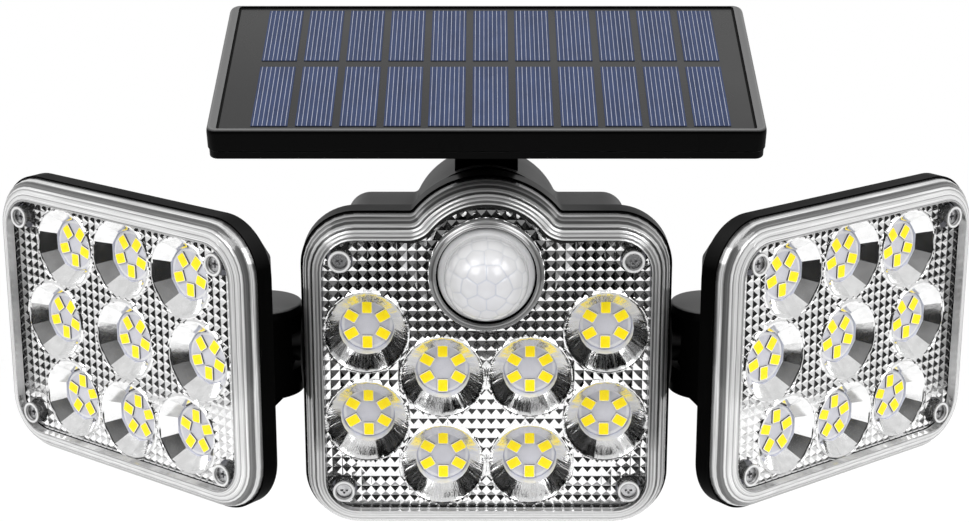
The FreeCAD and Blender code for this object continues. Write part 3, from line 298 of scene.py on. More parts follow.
def cutSheet(loop, holes, extra=None):
    # triangles of the flat region inside the loop and outside the round holes; extra gives (points, edges)
    loops = [loop] + [circle(x, z, r) for x, z, r in holes]
    starts = np.cumsum([0] + [len(p) for p in loops[:-1]])
    edges = [columns(np.arange(len(p)), np.roll(np.arange(len(p)), -1)) + s for p, s in zip(loops, starts)]
    points, edges = np.concatenate(loops), np.concatenate(edges)
    if extra:
        edges = np.concatenate([edges, extra[1] + len(points)])
        points = np.concatenate([points, extra[0]])
    made = delaunay_2d_cdt(points.tolist(), edges.tolist(), [], 0, meshing["sliver"])
    flat = np.array([tuple(p) for p in made[0]])
    triangles = np.array(made[2])
    middle = flat[triangles].mean(1)
    keep = inside(middle, loop)
    for x, z, r in holes:
        keep &= np.hypot(middle[:, 0] - x, middle[:, 1] - z) > r * 0.999
    used, triangles = np.unique(triangles[keep], return_inverse=True)
    return flat[used], triangles.reshape(-1, 3)


def slab(flat, triangles, front, back):
    # closes a sheet: front and back copies of it, and a wall wherever an edge has one triangle only
    count = len(flat)
    edges = np.concatenate([triangles[:, [0, 1]], triangles[:, [1, 2]], triangles[:, [2, 0]]])
    _, first, number = np.unique(np.sort(edges, 1), axis=0, return_index=True, return_counts=True)
    rim = edges[first[number == 1]]
    ahead = columns(flat[:, 0], front, flat[:, 1])
    behind = columns(flat[:, 0], back, flat[:, 1])
    wall = columns(rim[:, 0], rim[:, 1], rim[:, 1] + count)
    wallToo = columns(rim[:, 0], rim[:, 1] + count, rim[:, 0] + count)
    faces = np.concatenate([triangles, triangles[:, ::-1] + count, wall[:, ::-1], wallToo[:, ::-1]])
    return {"points": np.concatenate([ahead, behind]), "faces": faces,
            "uv": np.concatenate([flat, flat]) / 10.0, "finish": 0}


headPlace = {"turn": 38.0, "x": 89.0, "y": -34.0, "z": 8.0}
panelPlace = {"tilt": 20.4, "y": -20.0, "z": 62.5}


def turned(a, b, degrees):
    # two coordinates after a turn about the third axis
    c, s = math.cos(math.radians(degrees)), math.sin(math.radians(degrees))
    return a * c - b * s, a * s + b * c


def placeRight(points):
    # turns a side head's own frame outwards about the upright axis and carries it to its centre
    x, y = turned(points[..., 0], points[..., 1], headPlace["turn"])
    return columns(x, y, points[..., 2]) + np.array([headPlace[axis] for axis in "xyz"])


def placeLeft(points):
    # the right head seen in a mirror that stands on x = 0
    return placeRight(points) * np.array([-1.0, 1.0, 1.0])


def placePanel(points):
    # tips the panel's own frame forwards about its hinge
    y, z = turned(points[..., 1], points[..., 2], panelPlace["tilt"])
    return columns(points[..., 0], y + panelPlace["y"], z + panelPlace["z"])


def placeCentre(points):
    return points


# edge, ledFace: depth of the cover's foot and of the LED board's face; floor, rim: a cup's radii;
# first: angle of each cup's first chip; step, rake, flare: the pale lip and the curve of a bowl's wall
centreHead = {
    "name": "centre", "kind": "centre", "body": "housing", "place": placeCentre,
    "shape": {"width": 92.0, "bottom": -41.1, "top": 41.1, "corner": 13.6, "arch": (27.1, 23.1),
              "valley": 1.6},
    "edge": -35.5, "rimDepth": 7.5, "ledFace": -34.0, "cupDepth": 6.5,
    "cups": [(sx * x, z - drop) for x, z in ((30.1, 11.3), (11.1, -0.4)) for sx in (-1, 1)
             for drop in (0.0, 23.5)],
    "first": [90.0] * 8, "floor": 6.75, "rim": 10.4, "ring": 4.62, "chips": 6,
    "facets": 24, "turn": 0.0, "rows": 5, "step": 0.45, "rake": 0.0011, "flare": 0.95,
    "ridges": 0.10, "screws": [(sx * 36.2, sz * 30.4) for sx in (-1, 1) for sz in (-1, 1)],
    "sensor": (0.0, 27.1), "pitch": (2.45, 2.6), "rise": 0.6,
}
sideHead = {
    "kind": "side",
    "shape": {"width": 91.2, "bottom": -36.8, "top": 36.8, "corner": 13.6, "arch": None},
    "edge": -1.5, "rimDepth": 4.5, "ledFace": 0.0, "cupDepth": 3.5,
    "cups": [(-21.1, 20.4), (0, 21.3), (21.1, 20.4), (-26.3, 0), (0, 0), (26.3, 0), (-21.1, -20.4),
             (0, -21.3), (21.1, -20.4)],
    "first": [-90.0] * 6 + [90.0] * 3, "floor": 6.6, "rim": 9.9, "ring": 3.97, "chips": 5,
    "facets": 10, "turn": 18.0, "rows": 3, "step": 0.2, "rake": 0.0, "flare": 0.95,
    "ridges": 0.03, "screws": [(sx * 35.3, sz * 26.8) for sx in (-1, 1) for sz in (-1, 1)],
    "sensor": None, "pitch": (2.3, 2.3), "rise": 0.56,
}
heads = [centreHead, dict(sideHead, name="left", body="left_head", place=placeLeft),
         dict(sideHead, name="right", body="right_head", place=placeRight)]
panel = {"body": "panel", "place": placePanel}


# top: painted light on faces that look up; paintedSheen: painted sheen on faces seen at a low angle
plasticLook = {"shade": 0.0012, "roughness": (0.30, 0.44), "paintedSheen": 0.03, "top": 0.15, "gloss": 0.03,
               "behind": None, "patches": 0.05, "grain": 1.6, "depth": 0.02}


def blackPlastic(name, **changes):
    # moulded black plastic: fine grain in the bump and slow patches in the gloss; painted light from above
    # lightens faces that look up, and a painted sheen faces seen at a low angle; ahead of the depth given as
    # behind, it fades
    k = dict(plasticLook, **changes)
    look = Look(name, Specular_IOR_Level=k["gloss"])
    patches = look.cloud(k["patches"], 4.0)
    # painted sheen: faces seen at a low angle turn lighter
    facing = look.node("ShaderNodeLayerWeight", {}, {"Blend": 0.5}, 1)
    # painted light from above: faces whose normal points up turn lighter, toward top
    up = look.split(look.node("ShaderNodeTexCoord", output=1))[2]
    up = up.span(0.2, 0.75) * (1.0 - up.span(0.8, 1.0) * 0.3)
    if k["behind"] is not None:
        up = up * look.axis(1).span(k["behind"] - 0.2, k["behind"] + 0.2, 0.1, 1.0)
    tone = look.mixColour(patches, k["shade"], k["shade"] * 1.5)
    tone = look.mixColour(facing ** 3.0, tone, k["paintedSheen"])
    look.feed(Roughness=patches.span(0.0, 1.0, *k["roughness"]),
              Base_Color=look.mixColour(up, tone, k["top"]),
              Normal=look.bump(look.noise(k["grain"], 2.0), k["depth"], 0.5))
    return look


mirrorLook = {"scale": 0.35, "tone": (0.86, 0.96), "rougher": 1.6, "depth": 0.04}


def metallised(name, roughness):
    # vacuum-coated plastic: a mirror with a trace of unevenness
    k = mirrorLook
    look = Look(name, Metallic=1.0)
    uneven = look.noise(k["scale"], 2.0)
    look.feed(Base_Color=look.mixColour(uneven.span(0.35, 0.65), *k["tone"]),
              Roughness=uneven.span(0.3, 0.7, roughness, roughness * k["rougher"]),
              Normal=look.bump(uneven, k["depth"], 0.2))
    return look


fluteLook = {"scale": 9.0, "tone": (0.80, 0.97), "roughness": (0.05, 0.16), "depth": 0.12}


def cupMirror(name):
    # coated bowl wall: shallow flutes run up it and break its reflections into streaks
    k = fluteLook
    look = Look(name, Metallic=1.0)
    flutes = look.noise(1.0, 3.0, 0.55, look.uvFlow(k["scale"], k["scale"]))
    look.feed(Base_Color=look.mixColour(flutes.span(0.3, 0.7), *k["tone"]),
              Roughness=flutes.span(0.35, 0.65, *k["roughness"]),
              Normal=look.bump(flutes, k["depth"], 0.6))
    return look


# painted light and dark bands that stand in for the bent clear rim's reflections: shades by millimetres in
# from the rim's foot
rimPaintedBands = {
    "centre": [(0.0, 0.03), (0.25, 0.06), (0.42, 0.85), (0.6, 0.22), (0.95, 0.45), (1.12, 0.9), (1.3, 0.2),
               (1.7, 0.16), (1.92, 1.0), (2.3, 1.0), (2.48, 0.10), (2.9, 0.10), (3.08, 1.0), (3.45, 0.95),
               (3.58, 0.45), (4.0, 0.6), (4.22, 1.0), (4.45, 0.3), (4.8, 0.25), (5.0, 0.95), (5.18, 0.9),
               (5.28, 0.02)],
    "side": [(0.0, 0.05), (0.15, 0.08), (0.3, 0.7), (0.55, 0.85), (0.75, 0.14), (1.0, 0.10), (1.5, 0.2),
             (1.75, 0.14), (1.95, 0.9), (2.2, 1.0), (2.35, 0.35), (2.6, 0.6), (2.9, 0.9), (3.6, 1.0),
             (3.75, 0.3), (3.95, 0.8), (4.6, 0.95), (4.85, 0.75), (5.0, 0.06), (5.12, 0.8), (5.22, 0.05),
             (5.3, 0.7)],
}
# flow, lines: stretch of the noise along and across the rim; low: heights over which painted light makes the
# foot lighter toward the bottom
rimLook = {"flow": (0.25, 3.0), "wander": 0.22, "lines": (0.5, 12.0), "lineTone": (0.65, 1.2),
           "low": (-30.0, -37.0), "paintedFootLightShare": {"centre": 0.6, "side": 0.0}, "paintedFootLightTone": 0.85,
           "metallic": (0.10, 0.30), "alpha": (0.96, 0.84)}


def clearRim(kind):
    # bent clear plastic seen edge-on: painted light and dark bands, standing in for its reflections, run
    # along it, broken by fine flow lines; the painted bands are grey, so plain maths carries them; the
    # centre rim's foot takes painted light
    k = rimLook
    look = Look("clearRim" + kind.title(), Roughness=0.10, Specular_IOR_Level=0.6, Coat_Weight=0.4,
                Coat_Roughness=0.03)
    streaks = look.noise(2.0, 3.0, 0.6, look.uvFlow(*k["flow"]))
    paintedBands = look.ramp(look.uvPlace()[1] + (streaks - 0.5) * k["wander"], rimPaintedBands[kind], 6.0)
    lines = look.noise(1.0, 2.0, place=look.uvFlow(*k["lines"]))
    paintedBands = paintedBands * lines.span(0.35, 0.65, *k["lineTone"])
    # painted light: the rim grows lighter toward its bottom
    low = look.axis(2).span(*k["low"], 0.0, k["paintedFootLightShare"][kind])
    look.feed(Base_Color=look.mixColour(low, paintedBands, k["paintedFootLightTone"]),
              Metallic=streaks.span(0.3, 0.7, *k["metallic"]), Alpha=streaks.span(0.2, 0.8, *k["alpha"]))
    return look


def clearWindow(name):
    # thin clear sheet: almost nothing but its gloss shows
    look = Look(name, Roughness=0.04, Base_Color=colour(0.05), Specular_IOR_Level=0.4)
    look.feed(Alpha=look.noise(0.08, 2.0).span(0.3, 0.7, 0.012, 0.025))
    return look


def clearBoss(name):
    # round post of clear plastic: painted rings of light and dark stand in for how its wall bends the view;
    # the pit in its middle is almost clear
    look = Look(name, Roughness=0.06, Specular_IOR_Level=0.7, Coat_Weight=0.5)
    across = look.uvPlace()[1]
    paintedBands = look.ramp(across, [(0.0, 0.02), (0.72, 0.03), (2.28, 0.05), (2.7, 0.6), (3.0, 0.08),
                               (3.24, 0.5), (3.48, 1.0), (3.84, 0.7), (4.08, 0.1), (4.32, 0.4)], 12.0)
    look.feed(Base_Color=paintedBands, Alpha=(across < 4.25).span(0.0, 1.0, 0.12, 0.92))
    return look


def clouded(name, first, second, clouds, roughness=None, grain=None, glow=0.0, **settings):
    # faint clouds between two shades, which may carry the gloss and the glow, over a fine grain
    look = Look(name, Emission_Strength=glow, **settings)
    cloud = look.cloud(*clouds)
    tone = look.mixColour(cloud, first, second)
    look.feed(Base_Color=tone)
    if roughness:
        look.feed(Roughness=cloud.span(0, 1, *roughness))
    if glow:
        look.feed(Emission_Color=tone)
    if grain:
        scale, depth, strength = grain
        look.feed(Normal=look.bump(look.noise(scale, 2.0), depth, strength))
    return look


# each finish's top is painted light from above, and its paintedSheen is a painted sheen
plastics = {name: blackPlastic(name, **changes) for name, changes in {
    "blackPlastic": {},
    "deepBlackPlastic": {"shade": 0.001, "roughness": (0.16, 0.26), "top": 0.03},
    "shellPlastic": {"roughness": (0.34, 0.48), "paintedSheen": 0.006, "top": 0.02, "gloss": 0.006},
    "armPlastic": {"roughness": (0.26, 0.38), "paintedSheen": 0.04, "top": 0.22},
    "housingPlastic": {"behind": -29.5},
    "panelFramePlastic": {"roughness": (0.25, 0.38), "paintedSheen": 0.02, "top": 0.19},
    "sealBead": {"shade": 0.001, "roughness": (0.5, 0.6), "paintedSheen": 0.01, "top": 0.01},
    # painted shade: the thin dark band at the foot of each chip
    "chipSide": {"shade": 0.08, "roughness": (0.4, 0.5), "paintedSheen": 0.08, "top": 0.06},
    "paintedSteel": {"shade": 0.012, "roughness": (0.38, 0.5), "paintedSheen": 0.06},
}.items()}
mirror = metallised("metallisedPlastic", 0.04)
bowlMirrors = {"centre": cupMirror("flutedMirror"), "side": metallised("facetMirror", 0.06)}
# pale bluish lip at the foot of each cup
ringLook = clouded("paleRing", (0.77, 0.79, 0.89), (0.85, 0.87, 0.96), (0.3, 2.0), Roughness=0.3)
rimLooks = {kind: clearRim(kind) for kind in rimPaintedBands}
windowLook = clearWindow("clearWindow")
bossLook = clearBoss("clearBoss")
print("finishes ready")


# stations: millimetres in from the foot, and the share of the rim's height there
coverShape = {"wall": 1.6, "inner": 1.3, "width": 5.2, "step": 0.15, "lap": 0.7, "ridgeTurns": 3.6,
              "stations": ((0.0, 0.0), (0.5, 0.36), (2.2, 0.73), (5.2, 1.0)),
              "screwHole": 2.0, "sensorHole": 12.45,
              "boss": ((1.2, 2.3), (1.9, 2.3), (2.0, -0.05), (2.35, -0.18), (2.75, -0.18), (2.9, 0.1),
                       (2.9, 4.0), (1.2, 4.0))}


def rimProfile(head):
    # outer side: straight pieces through four stations, with shallow rolled ridges, then the inner side
    k, edge, depth = coverShape, head["edge"], head["rimDepth"]
    place, rise = np.array(k["stations"]).T
    across = np.linspace(0, k["width"], 37)
    share = np.interp(across, place, rise)
    ridge = np.abs(np.sin(across * k["ridgeTurns"])) * np.clip(across * (k["width"] - across), 0, 1)
    outer = list(zip(across, edge - share * depth + head["ridges"] * (1 - ridge)))
    outer[0], outer[-1] = (0.0, edge), (k["width"], edge - depth)
    window = k["width"] + k["step"]
    inner = [(window, edge - depth), (window, edge - depth + k["wall"] + k["lap"])]
    inner += [(a + k["inner"], edge - s * (depth - k["wall"])) for a, s in k["stations"][-2::-1]]
    return outer + inner


def makeCover(head):
    # swept rim, flat window cut from a sheet, and turned bosses round the screws
    k, name = coverShape, head["name"]
    face = head["edge"] - head["rimDepth"]
    holes = [(x, z, k["screwHole"]) for x, z in head["screws"]]
    if head["sensor"]:
        holes.append((*head["sensor"], k["sensorHole"]))
    flat, triangles = cutSheet(outline(head["shape"], k["width"] + k["step"]), holes)
    boss = [(r, face + y) for r, y in k["boss"]]
    for part, skins, look in (
            ("CoverRim", [sweep(head["shape"], rimProfile(head))], rimLooks[head["kind"]]),
            ("CoverWindow", [slab(flat, triangles, face, face + k["wall"])], windowLook),
            ("CoverBosses", [lathe(x, z, boss, 40) for x, z in head["screws"]], bossLook)):
        build(name + part, skins, [look], head,
              ["centre_cover" if name == "centre" else name + "_clear_cover"], 30.0)


for head in heads:
    makeCover(head)


collarLook = {
    "profile": ((12.45, -43.0), (12.45, -44.5), (12.6, -44.75), (12.95, -44.8), (13.25, -44.6),
                (13.45, -44.35), (13.75, -44.3), (14.05, -44.1), (14.25, -43.7), (14.35, -43.2),
                (14.4, -43.0), (14.4, -41.6), (12.45, -41.6)),
    "paintedBands": ((0.0, 0.1), (1.2, 0.05), (1.68, 0.55), (2.16, 0.75), (2.64, 0.1), (3.12, 0.4), (3.6, 0.7),
              (4.08, 0.2), (4.56, 0.45), (5.4, 0.1)),
    "metallic": (0.3, 0.6), "paintedFootShade": (14.0, 36.0, 0.3, 1.0)}


def makeCollar():
    # turned ring round the sensor: a rounded step outside; painted rings of light and dark, bright at the
    # lip inside as a painted highlight, and painted shade that makes it dimmer at its foot
    k = collarLook
    look = Look("clearCollar", Roughness=0.07, Specular_IOR_Level=0.7, Coat_Weight=0.6)
    paintedBands = look.ramp(look.uvPlace()[1], k["paintedBands"], 6.0)
    # painted shade: darker toward the bottom
    high = look.axis(2).span(*k["paintedFootShade"])
    look.feed(Base_Color=paintedBands * high, Metallic=paintedBands.span(0.0, 1.0, *k["metallic"]))
    build("sensorCollar", [lathe(*centreHead["sensor"], k["profile"], 128)], [look], centreHead,
          ["centre_cover"], 50.0)


makeCollar()
print("covers ready")


def pyramidLines(shape, pitch, centre):
    # the corners and middles of a field of oblong cells, and the edges and diagonals between them
    px, pz = pitch
    halfX = math.ceil((shape["width"] / 2) / px) + 1
    low = math.floor((shape["bottom"] - centre) / pz) - 1
    archTop = sum(shape["arch"]) if shape["arch"] else shape["top"]
    high = math.ceil((archTop - centre) / pz) + 1
    i, j = np.arange(-halfX, halfX + 1), np.arange(low, high + 1)
    x, z = np.meshgrid(i * px, centre + j * pz, indexing="ij")
    index = np.arange(x.size).reshape(x.shape)
    middle = np.arange((len(i) - 1) * (len(j) - 1)).reshape(len(i) - 1, len(j) - 1) + x.size
    mx, mz = x[:-1, :-1] + px / 2, z[:-1, :-1] + pz / 2
    points = np.concatenate([columns(x.ravel(), z.ravel()), columns(mx.ravel(), mz.ravel())])
    pairs = [(index[:-1], index[1:]), (index[:, :-1], index[:, 1:]), (middle, index[:-1, :-1]),
             (middle, index[1:, :-1]), (middle, index[:-1, 1:]), (middle, index[1:, 1:])]
    return points, np.concatenate([columns(a.ravel(), b.ravel()) for a, b in pairs])


def pyramidHeight(flat, pitch, centre):
    # 1 over a cell's middle, falling evenly to 0 at its four edges
    fx = np.abs((flat[:, 0] / pitch[0]) % 1.0 - 0.5) * 2
    fz = np.abs(((flat[:, 1] - centre) / pitch[1]) % 1.0 - 0.5) * 2
    return 1.0 - np.maximum(fx, fz)


fieldShape = {"edge": 5.4, "inner": 5.45, "front": 0.35, "back": 1.0, "strip": 1.3, "stripFrom": 6.0,
              "stripFull": 26.0, "stripEnds": (31.0, 27.0), "bossHole": 3.2, "sensorHole": 12.7}
bowlShape = {"foot": 0.8, "start": 0.2, "last": 0.97, "flat": 0.9, "lip": 0.25, "lipRise": 0.02,
             "lipBack": 0.5, "wall": 1.0, "each": 4, "uvReach": 0.2}


def makeReflector(head):
    # a cut sheet lifted to the pyramids' height, a plain border round it, and a bowl for each cup
    k, name, shape, pitch = fieldShape, head["name"], head["shape"], head["pitch"]
    face = head["ledFace"] - head["cupDepth"]
    front, back = face + k["front"], face + k["back"]
    loop, inner = outline(shape, k["edge"]), outline(shape, k["inner"])
    # a flat strip runs along the top, between the corner bosses
    high = np.clip((inner[:, 1] - k["stripFrom"]) / (k["stripFull"] - k["stripFrom"]), 0, 1)
    end, full = k["stripEnds"]
    inner[:, 1] -= k["strip"] * high * np.clip((end - np.abs(inner[:, 0])) / (end - full), 0, 1)
    holes = [(x, z, head["rim"]) for x, z in head["cups"]]
    holes += [(x, z, k["bossHole"]) for x, z in head["screws"]]
    if head["sensor"]:
        holes.append((*head["sensor"], k["sensorHole"]))
    centre = pitch[1] / 2
    flat, triangles = cutSheet(inner, holes, pyramidLines(shape, pitch, centre))
    lifted = front - head["rise"] * pyramidHeight(flat, pitch, centre)
    around = [(loop, front), (inner, front), (inner, back), (loop, back)]
    border = np.stack([np.insert(points, 1, depth, 1) for points, depth in around], 1)
    field = [slab(flat, triangles, lifted, back), grid(border[::-1], closedU=True, closedV=True)]
    build(name + "PyramidField", field, [mirror], head, [name + "_reflector"], 3.0)
    lowest = min(z for x, z in head["cups"])
    bowls = []
    for x, z in head["cups"]:
        # the pale lip is a little deeper in the cups higher up
        bowls += cupBowl(x, z, head, head["step"] + head["rake"] * (z - lowest), face)
    build(name + "CupBowls", bowls, [bowlMirrors[head["kind"]], ringLook], head, [name + "_reflector"],
          12.0)


def cupBowl(cx, cz, head, step, rimY):
    # bowl whose wall is flat between evenly spaced creases: the radius at an angle is that of the
    # polygon's side, and it turns into a circle at the floor and at the rim
    k, half, turn = bowlShape, np.pi / head["facets"], np.radians(head["turn"])
    angle = turn + np.linspace(0, 2 * np.pi, head["facets"] * k["each"], endpoint=False)[:, None]
    side = np.cos(half) / np.cos((angle - turn) % (2 * half) - half)
    share = np.concatenate([[0.0], np.linspace(step, k["last"], head["rows"] + 1), [1.0]])
    floorY = head["ledFace"] + k["foot"]
    depth = floorY + (rimY - floorY) * share
    opening = np.clip((share - step) / (1 - step), 0, 1) ** head["flare"]
    radius = head["floor"] + k["start"] + opening * (head["rim"] - head["floor"] - k["start"])
    radius[0] = head["floor"]
    flatness = np.ones(len(share))
    flatness[0] = flatness[-1] = 0.0
    inner = radius * (1 - flatness * (1 - side) * k["flat"])
    lip = np.full((len(angle), 1), head["rim"] + k["lip"])
    outer = (radius + k["wall"])[::-1] + 0 * side
    allR = np.concatenate([inner, lip, outer], 1)
    allY = np.concatenate([depth, [rimY - k["lipRise"], rimY + k["lipBack"]], depth[-2::-1]])
    c, s = np.cos(angle), np.sin(angle)
    points = columns(cx + allR * c, allY, cz + allR * s)
    # the uv goes round in a circle, a little wider at the rim, so that the flutes have no seam
    reach = 1 + k["uvReach"] * np.concatenate([share, [1.0], share[::-1]])
    skin = grid(points, closedU=True, closedV=True, uv=columns(c * reach, s * reach))
    count = allR.shape[1]
    ring = dict(skin, faces=skin["faces"][::count], finish=1)
    return [dict(skin, faces=np.delete(skin["faces"], np.s_[::count], 0)), ring]


for head in heads:
    makeReflector(head)
print("reflectors ready")


# pad: the round pad's profile as (millimetres in from its edge, depth behind its top)
chipShape = {"body": (3.5, 2.8), "lit": (3.1, 2.4), "height": 0.8, "sunk": 0.12, "cut": 0.25,
             "bodyCut": 0.12, "shoulder": 0.08, "gelEdge": 0.2, "padHeight": 0.35, "padGap": 0.1,
             "pad": ((0.9, 0.0), (0.2, -0.03), (0.0, 0.12), (0.0, 0.34))}


def chipMesh():
    # five rings of eight points each: foot, shoulder, top, edge of the gel and its sunk middle
    def ring(size, trim, cut, y):
        a, b = (size[0] - trim) / 2, (size[1] - trim) / 2
        return [(a, y, -b + cut), (a, y, b - cut), (a - cut, y, b), (-a + cut, y, b), (-a, y, b - cut),
                (-a, y, -b + cut), (-a + cut, y, -b), (a - cut, y, -b)]
    k, h, corner = chipShape, chipShape["height"], chipShape["bodyCut"]
    points = np.array([ring(k["body"], 0.0, corner, 0.0), ring(k["body"], 0.0, corner, k["shoulder"] - h),
                       ring(k["body"], corner, corner, -h), ring(k["lit"], 0.0, k["cut"], -h),
                       ring(k["lit"], k["gelEdge"], k["cut"], k["sunk"] - h)])
    index = np.arange(40).reshape(5, 8)
    around = np.roll(index, -1, 1)
    sideFaces = columns(index[:-1], around[:-1], around[1:], index[1:]).reshape(-1, 4)
    fan = np.array([[0, 1, 2, 3], [3, 4, 5, 0], [5, 6, 7, 0]])
    caps = np.concatenate([fan + 32, fan[:, ::-1]])
    # the thin strip from foot to shoulder takes chipSide: painted shade at the foot of each chip
    finish = np.repeat([3, 0, 1, 0], [8, 16, 11, 3])
    return points.reshape(-1, 3), np.concatenate([sideFaces, caps]), finish


def makeLeds(head):
    # the same package turned by its ring angle and carried to its cup, for all chips at once
    k = chipShape
    base, faces, finish = chipMesh()
    cups = np.array(head["cups"], float)
    first = np.radians(head["first"])
    angle = first[:, None] + 2 * np.pi * np.arange(head["chips"]) / head["chips"]
    c, s = np.cos(angle)[..., None], np.sin(angle)[..., None]
    out = base[:, 0] + head["ring"]
    x = cups[:, 0, None, None] + out * c - base[:, 2] * s
    z = cups[:, 1, None, None] + out * s + base[:, 2] * c
    points = columns(x, base[:, 1] + head["ledFace"] + k["height"], z).reshape(-1, 3)
    count = len(points) // len(base)
    allFaces = (faces + (np.arange(count) * len(base))[:, None, None]).reshape(-1, 4)
    which = np.tile(finish, count)
    uv = np.tile(base[:, [0, 2]] / 4 + 0.5, (count, 1))
    skins = [{"points": points, "faces": allFaces[which == n], "uv": uv, "finish": n} for n in (0, 1, 3)]
    top = head["ledFace"] + k["height"] - k["padHeight"]
    edge = head["floor"] - k["padGap"]
    pad = [(0.0, top)] + [(edge - a, top + y) for a, y in k["pad"]] + [(0.0, top + k["pad"][-1][1])]
    skins += [lathe(x, z, pad, 40, finish=2) for x, z in head["cups"]]
    build(head["name"] + "LedChips", skins, [packageLook, gelLook, padLook, plastics["chipSide"]], head,
          [head["name"] + "_leds"], 25.0)


gelTones = {"middle": (0.95, 0.74, 0.0), "edge": (1.0, 0.83, 0.01), "speck": (0.90, 0.60, 0.0)}


def gel(name):
    # phosphor gel over the die: strong yellow, a little paler toward the edge; its glow is painted light
    look = Look(name, Roughness=0.32, Specular_IOR_Level=0.4, Emission_Strength=0.40)
    u, v = look.uvPlace()
    edge = (u - 0.5).size().most((v - 0.5).size()).span(0.1, 0.4)
    speck = look.cloud(3.0, 2.0, 0.35)
    tone = look.mixColour(edge, gelTones["middle"], gelTones["edge"])
    tone = look.mixColour(speck * 0.2, tone, gelTones["speck"])
    look.feed(Base_Color=tone, Emission_Color=tone)
    return look


def ledPad(name):
    # pale round pad that carries the chips, with a painted highlight, a bright ring near its edge, and a
    # faint painted glow
    look = Look(name, Roughness=0.42, Emission_Strength=0.06)
    cloud = look.cloud(0.2, 3.0)
    tone = look.mixColour(cloud, (0.69, 0.69, 0.75), (0.79, 0.79, 0.85))
    # painted highlight: the bright ring near the edge
    ring = look.ramp(look.uvPlace()[1], [(0.0, 0.0), (5.6, 0.0), (5.92, 1.0), (6.32, 1.0), (6.56, 0.0)], 8.0)
    tone = look.mixColour(ring * 0.8, tone, 0.95)
    look.feed(Base_Color=tone, Emission_Color=tone)
    return look


gelLook = gel("phosphorGel")
# warm white moulding round the gel, finely speckled, with a faint glow that is painted light
packageLook = clouded("ledPackage", (0.93, 0.93, 0.86), (0.86, 0.86, 0.80), (2.0, 2.0, 0.35), glow=0.10,
                      Roughness=0.35)
padLook = ledPad("ledPad")
for head in heads:
    makeLeds(head)
print("leds ready")


# rings: degrees from the apex, number of facets and first facet's angle; cell: a facet's reach in radians;
# neck: profile of the neck and flange as (outside the ball's foot, behind it)
lensShape = {"radius": 10.44, "inner": 9.9, "centreY": -45.4, "axisZ": 27.1, "bulge": 0.14, "cell": 0.21,
             "seam": 0.05, "seamDepth": 0.04, "plainFrom": 84.0, "plainOver": 0.15, "rows": 90,
             "steps": 200,
             "neck": ((0.0, 0.0), (0.0, 1.5), (0.35, 1.95), (1.16, 2.05), (1.56, 2.2), (1.56, 3.2)),
             "rings": ((0.0, 1, 0.0), (24.5, 6, 0.0), (47.0, 11, 12.0), (68.0, 15, 4.0), (86.0, 18, 0.0))}
lensTones = {"milk": ((0.73, 0.73, 0.76), (0.79, 0.79, 0.81)), "milkOut": (0.87, 0.87, 0.88),
             "seam": (0.60, 0.62, 0.70), "seamOut": (0.76, 0.77, 0.80), "out": (25.0, 80.0)}


def ballPoint(tip, around):
    # unit ball about the line of sight: sine of the tip times cosine and sine round it, minus its cosine
    return columns(np.sin(tip) * np.cos(around), -np.cos(tip), np.sin(tip) * np.sin(around))


def lensCells():
    # directions of the facets' middles: evenly spaced in rings round the apex
    return np.concatenate([ballPoint(np.radians(tip), np.radians(turn) + 2 * np.pi * np.arange(n) / n)
                           for tip, n, turn in lensShape["rings"]])


def milkyPlastic(name):
    # clouded white, lighter away from the axis, with bluish seams between the facets, darkened by painted
    # shade
    k = lensTones
    look = Look(name, Roughness=0.24, Subsurface_Weight=0.15, Subsurface_Scale=0.002,
                Subsurface_Radius=(1.0, 1.0, 1.0), Specular_IOR_Level=0.5, Coat_Weight=0.6,
                Coat_Roughness=0.2)
    side, up = look.axis(0), look.axis(2) - lensShape["axisZ"]
    outer = (side * side + up * up).span(*k["out"])
    milk = look.mixColour(look.cloud(0.12, 2.0, 0.35), *k["milk"])
    milk = look.mixColour(outer, milk, k["milkOut"])
    seam = look.mixColour(outer, k["seam"], k["seamOut"])
    look.feed(Base_Color=look.mixColour(look.uvPlace()[0].span(0.0, 1.0), seam, milk))
    return look


def makeLens():
    # half ball on a short neck and flange; each facet is a shallow bulge round its own middle, so the
    # seams lie where two middles are equally near
    k = lensShape
    tip = np.linspace(0, np.pi / 2, k["rows"])
    around = np.linspace(0, 2 * np.pi, k["steps"], endpoint=False)[:, None]
    direction = ballPoint(tip, around)
    near = np.sort(np.arccos(np.clip(direction @ lensCells().T, -1, 1)), -1)
    bulge = k["bulge"] * (1 - (near[..., 0] / k["cell"]) ** 2)
    seam = np.clip((near[..., 1] - near[..., 0]) / k["seam"], 0, 1)
    fade = np.clip((math.radians(k["plainFrom"]) - tip) / k["plainOver"], 0, 1)
    radius = k["radius"] + (np.clip(bulge, -0.1, 1) - k["seamDepth"] * (1 - seam)) * fade
    middle = np.array([0, k["centreY"], k["axisZ"]])
    foot = [(k["radius"] + a, k["centreY"] + b) for a, b in k["neck"]]
    foot += [(k["inner"], foot[-1][1]), (k["inner"], k["centreY"])]
    neck = lathe(0.0, k["axisZ"], foot, k["steps"], closed=False)
    skins = [grid(direction * radius[..., None] + middle, closedU=True,
                  uv=columns(seam, 1 - near[..., 0])),
             dict(neck, uv=np.tile([1.0, 0.85], (len(neck["points"]), 1))),
             grid(direction[:, ::6] * k["inner"] + middle, closedU=True, flip=True)]
    build("sensorLens", skins, [milkyPlastic("milkyLens")], centreHead, ["pir_lens"], 35.0)


makeLens()
print("sensor ready")


